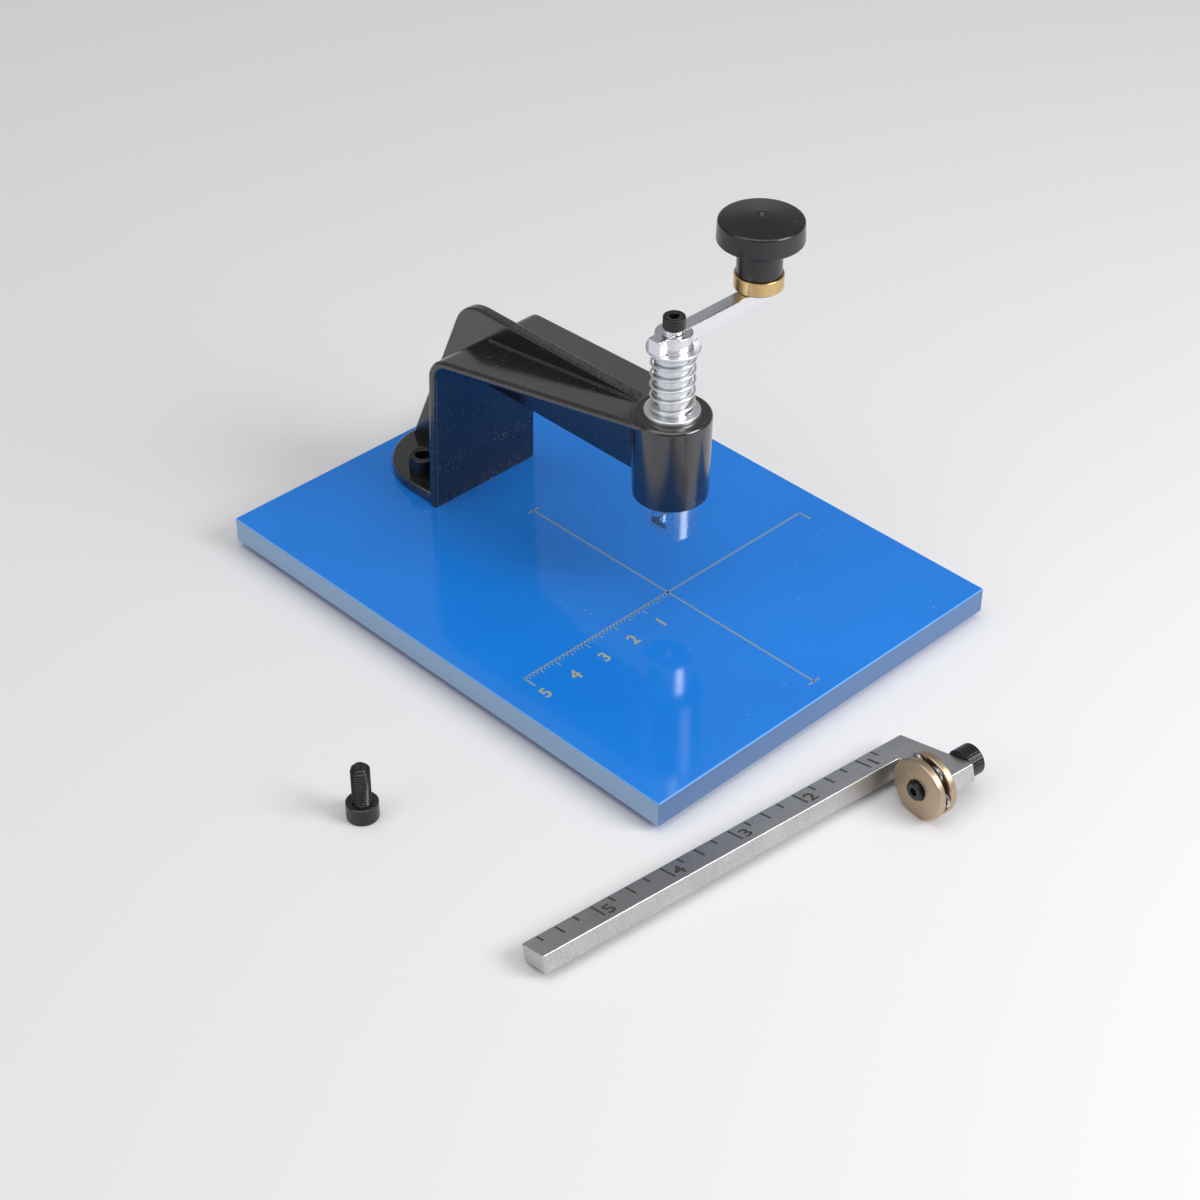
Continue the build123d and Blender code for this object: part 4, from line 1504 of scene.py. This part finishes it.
@dataclass
class Spindle:
    """The spindle, its return spring and the washer above it."""

    barrel_radius: float = 8.4
    barrel_low: float = 26.05
    barrel_high: float = 58.7
    rod_radius: float = 5.9
    rod_high: float = 98.7
    flat_y: float = 4.9
    flat_high: float = 40.8
    window_width: float = 6.3
    window_low: float = 28.95
    window_height: float = 10.8
    clamp_radius: float = 3.0
    slot_width: float = 5.1
    slot_low: float = 93.6
    wire_radius: float = 0.42
    coil_radius: float = 6.78
    coil_low: float = 71.67
    coil_high: float = 92.13
    closed_pitch: float = 1.3
    closed_quarters: int = 3
    quarters: int = 25
    travel: float = 9.0
    washer_radius: float = 8.5
    washer_low: float = 92.6
    washer_rise: float = 1.0
    washer_gap: float = 0.1

    def shaft(self) -> bpy.types.Object:
        """The turned shaft with its flat, window, clamp hole and slot cut out.

        Returns:
            The cut piece.
        """
        profile = rounded(
            [
                (0, self.barrel_low), (self.barrel_radius, self.barrel_low),
                (self.barrel_radius, self.barrel_high),
                (self.rod_radius, self.barrel_high), (self.rod_radius, self.rod_high),
                (0, self.rod_high),
            ],
            [0, 0.5, 0.5, 0, 0.4, 0], steps=4, closed=False,
        )
        piece = make_piece(
            "spindle", turned(profile, 96), "spindle_steel", "crank", ["spindle_shaft"]
        )
        wide, low = self.barrel_radius + 1, self.barrel_low - 1
        half = self.window_width / 2
        flat = box_between((-wide, -wide, low), (wide, -self.flat_y, self.flat_high))
        window = box_between(
            (-half, -wide - 1, self.window_low), (half, wide, self.window_low + self.window_height)
        )
        ring, ends = circle(self.clamp_radius, 48), (low, self.window_low + 1)
        clamp = capped_tube(np.stack([np.column_stack([ring, np.full(48, z)]) for z in ends]))
        slot_half = self.slot_width / 2
        slot = box_between((-slot_half, -wide, self.slot_low), (slot_half, wide, self.rod_high + 1))
        for cutter in (flat, window, clamp, slot):
            cut(piece, cutter)
        return evened(piece)

    def spring(self) -> Shape:
        """The wire, a circle carried along a helix with closer end turns.

        The height gained in each quarter turn is the closed pitch / 4 at the ends and even between;
        the centre line is (R cos t, R sin t, z(t)), with z smoothed over a quarter turn each way.

        Returns:
            The closed wire.
        """
        open_quarters = self.quarters - 2 * self.closed_quarters
        closed = self.closed_pitch / 4
        rest = (self.coil_high - self.coil_low - 2 * self.closed_quarters * closed) / open_quarters
        ends = [closed] * self.closed_quarters
        rises = np.array(ends + [rest] * open_quarters + ends)
        heights = self.coil_low + np.concatenate([[0], np.cumsum(rises)])
        t = np.linspace(0, self.quarters, self.quarters * 14 + 1)
        z = sum(
            np.interp(np.clip(t + shift, 0, self.quarters), np.arange(self.quarters + 1), heights)
            for shift in (-0.4, 0, 0.4)
        ) / 3
        z[[0, -1]] = heights[[0, -1]]
        angle = t * math.pi / 2
        line = np.column_stack(
            [self.coil_radius * np.cos(angle), self.coil_radius * np.sin(angle), z]
        )
        run = np.gradient(line, axis=0)
        run /= np.linalg.norm(run, axis=1, keepdims=True)
        out = np.column_stack([np.cos(angle), np.sin(angle), np.zeros_like(angle)])
        above = np.cross(run, out)
        return carried(circle(self.wire_radius, 16), line, out, above)

    def washer(self) -> Shape:
        """The washer between the spring and the crank bar.

        Returns:
            The washer.
        """
        top, bore = self.washer_low + self.washer_rise, self.rod_radius + self.washer_gap
        return turned_ring(
            [
                (bore, self.washer_low), (self.washer_radius, self.washer_low),
                (self.washer_radius, top), (bore, top),
            ], 0.25, 3,
        )

    def build(self) -> None:
        """Makes the shaft, the spring and the washer."""
        self.shaft()
        spring = make_piece("spring_wire", self.spring(), "spring_steel", "base", ["return_spring"])
        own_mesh(spring)
        make_piece("washer", self.washer(), "plated_steel", "press", ["upper_washer"], even=True)


# The crank and knob


@dataclass
class Crank:
    """The crank bar with its screw and split washer, and the knob on its collar."""

    width: float = 5.0
    low: float = 93.6
    high: float = 99.0
    back: float = -8.7
    front: float = 45.3
    reach: float = 37.3
    edge: float = 0.45
    washer_radius: float = 3.5
    washer_rise: float = 1.0
    collar_radius: float = 7.87
    collar_low: float = 99.1
    collar_high: float = 104.1
    stem_radius: float = 7.2
    disc_low: float = 115.0
    disc_high: float = 122.5
    disc_radii: tuple[float, float] = (13.8, 13.5)
    crown: float = 1.3
    dimple_radius: float = 1.6
    dimple_depth: float = 0.8
    washer_bore: float = 2.05
    knob_bore: float = 3.05
    spigot_radius: float = 5.0
    spigot_rise: float = 3.9
    hollow_radius: float = 4.3
    hollow_high: float = 110.95
    axle_radii: tuple[float, float, float] = (1.5, 3.0, 4.0)
    axle_head: float = 2.5

    def bar(self) -> Shape:
        """The flat bar with rounded edges.

        Returns:
            The bar.
        """
        half = self.width / 2
        outline = rounded(
            [(-half, self.back), (half, self.back), (half, self.front), (-half, self.front)], 0.5, 4
        )
        return slab(outline, self.low, self.high, self.edge)

    def split_washer(self) -> Shape:
        """The split washer: a square section carried round nearly a turn.

        Returns:
            The washer.
        """
        angle = np.linspace(math.radians(6), math.radians(354), 60)
        middle = (self.washer_radius + self.washer_bore) / 2
        half = (self.washer_radius - self.washer_bore) / 2
        rise = self.washer_rise / 2
        section = rounded([(-half, -rise), (half, -rise), (half, rise), (-half, rise)], 0.12, 3)
        origins = np.column_stack(
            [middle * np.cos(angle), middle * np.sin(angle), np.full(60, self.high + rise)]
        )
        out = np.column_stack([np.cos(angle), np.sin(angle), np.zeros(60)])
        up = np.broadcast_to([0.0, 0.0, -1.0], out.shape)
        return carried(section, origins, out, up)

    def collar(self) -> Shape:
        """The turned collar with its spigot.

        Returns:
            The collar.
        """
        return turned_ring(
            [
                (self.knob_bore, self.collar_low), (self.collar_radius, self.collar_low),
                (self.collar_radius, self.collar_high),
                (self.spigot_radius, self.collar_high),
                (self.spigot_radius, self.collar_high + self.spigot_rise),
                (self.knob_bore, self.collar_high + self.spigot_rise),
            ],
            [0, 0.45, 0.45, 0, 0, 0], 4,
        )

    def knob(self) -> Shape:
        """The knob: stem, disc with rounded rims, a low crown and a dimple.

        Returns:
            The knob, with the hollow for the axle's head.
        """
        (wide, upper), top = self.disc_radii, self.disc_high
        profile = rounded(
            [
                (5.05, self.collar_high), (self.stem_radius, self.collar_high),
                (self.stem_radius, self.disc_low - 0.9),
                (wide - 0.9, self.disc_low), (wide, self.disc_low + 0.7), (upper, top - 0.2),
                (upper - 0.9, top),
                (0.55 * upper, top + 0.6 * self.crown),
                (self.dimple_radius + 1.2, top + self.crown),
                (self.dimple_radius, top + self.crown), (0.4, top + self.crown - self.dimple_depth),
                (0, top + self.crown - self.dimple_depth),
            ],
            [0, 0.3, 1.4, 0.5, 0.6, 0.9, 0.9, 8.0, 1.2, 0.5, 0.3, 0], steps=5, closed=False,
        )
        floor = np.array(
            [
                (0.0, self.hollow_high), (self.hollow_radius, self.hollow_high),
                (self.hollow_radius, self.collar_high + self.spigot_rise),
                (5.05, self.collar_high + self.spigot_rise)
            ]
        )
        return turned(np.concatenate([floor, profile]), 128)

    def axle(self) -> Shape:
        """The shoulder screw that the knob turns on.

        Returns:
            The screw.
        """
        foot, head = self.low + 0.1, self.collar_high + 4.0
        tail, shoulder, rim = self.axle_radii
        profile = np.array([
            (0, foot), (tail, foot), (tail, self.high), (shoulder, self.high), (shoulder, head),
            (rim, head),
            (rim, head + self.axle_head), (0, head + self.axle_head),
        ])
        return turned(profile, 48)

    def build(self) -> None:
        """Makes the bar and what it carries."""
        make_piece("crank_arm", self.bar(), "crank_steel", "crank", ["crank_bar"], even=True)
        make_piece(
            "split_washer", self.split_washer(), "plated_steel", "crank", ["crank_lock_washer"]
        )
        head = self.high + self.washer_rise
        make_piece(
            "rod_screw", M4.shape().shifted(z=head), "screw_black", "crank", ["crank_screw"],
            even=True,
        )
        make_piece(
            "shoulder_screw", self.axle().shifted(y=self.reach), "plated_steel", "crank",
            ["knob_axle"],
        )
        make_piece(
            "collar", self.collar().shifted(y=self.reach), "collar_brass", "knob", ["knob_bush"],
            even=True,
        )
        make_piece(
            "grip", self.knob().shifted(y=self.reach), "knob_black", "knob", ["knob"], even=True
        )


# The arm and turret


@dataclass
class ScaledArm:
    """The loose arm, its engraved scale, and the turret of six wheels at its leg."""

    thickness: float = 6.0
    width: float = 10.5
    length: float = 145.0
    leg: float = 31.5
    free_end: tuple[float, float] = (81.0, -139.0)
    yaw: float = math.radians(6.0)
    turret_radius: float = 10.0
    turret_depth: float = 25.0
    disc: float = 2.6
    groove: float = 1.8
    hub_radius: float = 4.8
    sleeve_head: float = 3.1
    head_proud: float = 1.4
    head_height: float = 2.2
    wheels: int = 6
    wheel_radius: float = 2.6
    wheel_thickness: float = 1.1
    pitch_radius: float = 8.0
    pin_radius: float = 0.7
    tick_step: float = 6.35
    first_tick: float = 4.95
    tick_lengths: tuple[float, float, float] = (7.1, 4.9, 3.3)
    tick_half: float = 0.38
    tick_start: float = 0.7
    digit_height: float = 5.1
    digit_middle: float = 5.7
    digit_shift: float = 2.8
    bore: float = 2.95
    seat_gap: float = 0.1
    head_room: float = 0.3
    screw_reach: float = 5.0
    floor: float = field(default_factory=lambda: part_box("clamp_screw")[0].z / MM)

    def tilt(self) -> float:
        """Angle at which the arm rests on its back edge and on the turret's rims.

        Returns:
            The angle in radians.
        """
        half = self.thickness / 2
        return math.asin(
            self.turret_radius / math.hypot(half, self.turret_depth)
        ) - math.atan2(half, self.turret_depth)

    def arm_frame(self) -> Matrix:
        """Places the arm: X along the leg, Y along the bar from its free end, Z out of its face.

        Returns:
            The matrix from the arm's own frame, in millimetres.
        """
        tilt, yaw = self.tilt(), self.yaw
        leg = Vector(
            (math.cos(tilt) * math.cos(yaw), -math.cos(tilt) * math.sin(yaw), math.sin(tilt))
        )
        normal = Vector(
            (-math.sin(tilt) * math.cos(yaw), math.sin(tilt) * math.sin(yaw), math.cos(tilt))
        )
        matrix = Matrix((leg, normal.cross(leg), normal)).transposed().to_4x4()
        matrix.translation = Vector((*self.free_end, self.floor))
        return matrix

    def turret_frame(self) -> Matrix:
        """Places the turret: Z along its axis towards the leg, X as the arm's.

        Returns:
            The matrix from the turret's own frame, in millimetres.
        """
        turret_length = 2 * self.disc + self.groove
        front = self.length - self.width - self.seat_gap - turret_length
        local = Matrix(
            (
                (1, 0, 0, self.turret_depth), (0, 0, 1, front), (0, -1, 0, self.thickness / 2),
                (0, 0, 0, 1),
            )
        )
        return self.arm_frame() @ local

    def bar(self) -> Shape:
        """The bar and its leg, one flat L with rounded edges.

        Returns:
            The bar in its place.
        """
        inner = self.length - self.width
        outline = rounded(
            [
                (0, 0), (self.width, 0), (self.width, inner), (self.leg, inner),
                (self.leg, self.length), (0, self.length)
            ],
            [0.5, 0.5, 1.2, 0.5, 0.5, 0.5], 4,
        )
        return slab(outline, 0, self.thickness, 0.35, 3).placed(self.arm_frame())

    def scale(self) -> Shape:
        """The engraved ticks and digits on the upper face, counted from the turret.

        Returns:
            The marks in their place.
        """
        top, start, wide = self.thickness, self.tick_start, self.tick_half
        full, half, quarter = self.tick_lengths
        marks = []
        for index in range(22):
            along = self.first_tick + index * self.tick_step
            if along > self.length - 8:
                break
            place = index - 3
            end = start + (full if place % 4 == 0 else half if place % 2 == 0 else quarter)
            marks.append(
                box_between((start, along - wide, top - PROUD), (end, along + wide, top + PROUD))
            )
        for number in range(5):
            along = self.first_tick + (3 + number * 4) * self.tick_step + self.digit_shift
            marks.append(
                digit_shape(
                    str(5 - number), self.digit_height, Vector((self.digit_middle, along, top))
                )
            )
        return Shape.joined(marks).placed(self.arm_frame())

    def front_disc(self) -> Shape:
        """The front disc, with the sunk seat of the sleeve's head.

        Returns:
            The disc in the turret's frame.
        """
        rim, wall = self.turret_radius, self.sleeve_head + self.head_room
        seat = self.head_height - self.head_proud + self.seat_gap
        return turned_ring(
            [
                (self.bore, seat), (wall, seat), (wall, 0), (rim, 0), (rim, self.disc),
                (self.bore, self.disc),
            ],
            [0, 0, 0.2, 0.5, 0.5, 0], 4, 128,
        )

    def back_disc(self) -> Shape:
        """The back disc with the hub between the wheels.

        Returns:
            The disc in the turret's frame.
        """
        start = self.disc + self.groove
        return turned_ring(
            [
                (self.bore, self.disc), (self.hub_radius, self.disc), (self.hub_radius, start),
                (self.turret_radius, start),
                (self.turret_radius, start + self.disc), (self.bore, start + self.disc),
            ],
            [0, 0, 0, 0.5, 0.5, 0], 4, 128,
        )

    def wheel_place(self, number: int) -> tuple[float, float]:
        """Centre of a wheel in the turret's plane.

        Args:
            number: the wheel's number, from 0.

        Returns:
            X and Y of the centre.
        """
        start = math.pi / 2 + self.tilt() + math.pi / self.wheels
        angle = start + number * 2 * math.pi / self.wheels
        return self.pitch_radius * math.cos(angle), self.pitch_radius * math.sin(angle)

    def wheel(self) -> Shape:
        """A cutting wheel with its bevelled edge.

        Returns:
            The wheel about its own centre.
        """
        half, rim = self.wheel_thickness / 2, self.wheel_radius
        return turned_ring(
            [
                (0.78, -half), (1.5, -half), (rim - 0.5, -half), (rim, 0), (rim - 0.5, half),
                (1.5, half), (0.78, half)
            ],
            [0.05, 0, 0.1, 0.02, 0.1, 0, 0.05], 3, 64,
        )

    def pin(self) -> Shape:
        """A wheel's pin, along the turret's axis.

        Returns:
            The pin about its own axis.
        """
        low, high = 1.1, self.disc + self.groove + 1.5
        return turned(
            rounded(
                [(0, low), (self.pin_radius, low), (self.pin_radius, high), (0, high)],
                [0, 0.1, 0.1, 0], 2, closed=False,
            ),
            24,
        )

    def sleeve(self) -> Shape:
        """The headed sleeve in the turret, its head a little proud, with a small recess.

        Returns:
            The sleeve in the turret's frame.
        """
        face, under = -self.head_proud, self.head_height - self.head_proud
        profile = rounded(
            [
                (0, face + 1.2), (1.25, face + 1.2), (1.3, face), (self.sleeve_head, face),
                (self.sleeve_head, under),
                (2.9, under), (2.9, 7.1), (0, 7.1),
            ][::-1],
            [0, 0, 0, 0, 0.6, 0.2, 0.1, 0], 4, closed=False,
        )
        return turned(profile, 64)

    def build(self) -> None:
        """Makes the arm, its scale and the turret with its wheels."""
        place = self.turret_frame()
        make_piece("arm_and_leg", self.bar(), "arm_steel", "arm", ["arm_bar"], even=True)
        make_piece("arm_scale", self.scale(), "arm_mark", "arm")
        turn = tuple(place.to_3x3().inverted().to_euler())
        FINISHES["turret_brass"] = TurnedMetal(
            "turret_brass", (0.6, 0.47, 0.33), 0.33, tuple(place.translation), turn,
            tarnish=(0.34, 0.26, 0.18), tarnish_share=0.45,
        )
        make_piece(
            "front_disc", self.front_disc().placed(place), "turret_brass", "turret",
            ["turret_disc_front"], even=True,
        )
        make_piece(
            "back_disc", self.back_disc().placed(place), "turret_brass", "turret",
            ["turret_disc_back"], even=True,
        )
        middle = self.disc + self.groove / 2
        for number in range(self.wheels):
            x, y = self.wheel_place(number)
            wheel = self.wheel().shifted(x, y, middle).placed(place)
            make_piece(
                f"wheel_{number + 1}", wheel, "cutter_steel", f"wheel_{number + 1}",
                [f"cutting_wheel_{number + 1}"],
            )
        pins = Shape.joined(
            [self.pin().shifted(*self.wheel_place(number)) for number in range(self.wheels)]
        )
        make_piece("pins", pins.placed(place), "cutter_steel", "turret", ["wheel_pins"])
        make_piece(
            "sleeve", self.sleeve().placed(place), "screw_black", "arm", ["turret_sleeve"],
            even=True,
        )
        leg_end = 2 * self.disc + self.groove + self.seat_gap + self.width
        screw = replace(
            M6, radius=1.95, shank=self.width + self.screw_reach, pitch=0.7, tip=0.4
        ).shape().shifted(z=leg_end)
        make_piece(
            "leg_screw", screw.placed(place), "screw_black", "arm", ["turret_screw"], even=True
        )


@dataclass
class ClampScrew:
    """The loose clamp screw, standing on its head."""

    place: tuple[float, float] = (3.3, -132.3)
    shank: float = 13.5
    tip: float = 1.2
    floor: float = field(default_factory=lambda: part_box("clamp_screw")[0].z / MM)

    def build(self) -> None:
        """Turns a cap screw over and stands it on the floor."""
        screw = replace(M6, shank=self.shank, tip=self.tip).shape()
        matrix = Matrix.Translation(
            (*self.place, self.floor + M6.head_height)
        ) @ Matrix.Rotation(math.pi, 4, "X")
        make_piece(
            "loose_screw", screw.placed(matrix), "screw_black", "clamp", ["clamp_screw"], even=True
        )


# Floor, light and camera


@dataclass(frozen=True)
class Lamp:
    """A square soft lamp, by its place and size in metres and its power in watts."""

    name: str
    place: Xyz
    size: float
    power: float

    def build(self) -> None:
        """Makes the lamp, aimed at the worktop."""
        light = bpy.data.lights.new(self.name, "AREA")
        light.size, light.energy, light.color = self.size, self.power, (1, 1, 1)
        lamp = linked(self.name, light)
        lamp.location = self.place
        lamp.rotation_euler = (-Vector(self.place)).to_track_quat("-Z", "Y").to_euler()


@dataclass
class Studio:
    """The pale floor, the soft lamps and the camera at the photograph's place."""

    camera_place: Xyz = (458.4, -480.9, 505.4)
    camera_aim: Xyz = (-12.3, -18.65, 0.0)
    camera_roll: float = math.radians(0.22)
    lens: float = 77.33
    floor_colour: Rgb = (0.765, 0.76, 0.77)
    floor_size: float = 6000.0
    floor_roughness: float = 0.55
    floor_specular: float = 0.25
    world_colour: Rgb = (0.98, 0.98, 1.0)
    world_strength: float = 0.28
    lamps: tuple[Lamp, ...] = (
        Lamp("overhead", (0.12, -0.3, 2.1), 2.2, 24.0),
        Lamp("low", (-1.25, 1.0, 0.42), 0.9, 0.42),
        Lamp("right", (0.78, 0.28, 0.62), 0.5, 7.0),
        Lamp("front", (-0.4, -1.8, 1.0), 1.2, 5.5),
    )

    def floor(self) -> None:
        """The plain floor at the feet's underside."""
        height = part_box("rubber_feet")[0].z
        half = self.floor_size * MM / 2
        mesh = bpy.data.meshes.new("floor")
        mesh.from_pydata(
            [
                (-half, -half, height), (half, -half, height), (half, half, height),
                (-half, half, height)
            ],
            [], [(0, 1, 2, 3)],
        )
        plane = linked("floor", mesh)
        made = bpy.data.materials.new("floor")
        made.use_nodes = True
        shader = made.node_tree.nodes["Principled BSDF"]
        Graph(made.node_tree).feed(
            shader, Base_Color=self.floor_colour, Roughness=self.floor_roughness,
            Specular_IOR_Level=self.floor_specular,
        )
        mesh.materials.append(made)

    def world(self) -> None:
        """An even pale surround."""
        world = bpy.data.worlds.new("surround")
        bpy.context.scene.world = world
        world.use_nodes = True
        back = world.node_tree.nodes["Background"]
        back.inputs["Color"].default_value = (*self.world_colour, 1)
        back.inputs["Strength"].default_value = self.world_strength

    def camera(self) -> None:
        """The camera, aimed and rolled."""
        camera = linked("camera", bpy.data.cameras.new("camera"))
        camera.data.lens, camera.data.sensor_width = self.lens, 36.0
        camera.data.clip_start, camera.data.clip_end = 0.01, 20.0
        place, aim = Vector(self.camera_place) * MM, Vector(self.camera_aim) * MM
        turn = (aim - place).to_track_quat("-Z", "Y").to_matrix() @ Matrix.Rotation(
            self.camera_roll, 3, "Z"
        )
        camera.location, camera.rotation_euler = place, turn.to_euler()
        bpy.context.scene.camera = camera

    def build(self) -> None:
        """Sets the stage."""
        self.floor()
        for lamp in self.lamps:
            lamp.build()
        self.world()
        self.camera()
        bpy.context.scene.view_settings.view_transform = "Standard"


def main() -> None:
    """Builds every assembly in turn."""
    logging.basicConfig(level=logging.INFO, format="%(message)s")
    for assembly in (Worktop(), Bracket(), Spindle(), Crank(), ScaledArm(), ClampScrew(), Studio()):
        assembly.build()


if __name__ == "__main__":
    main()
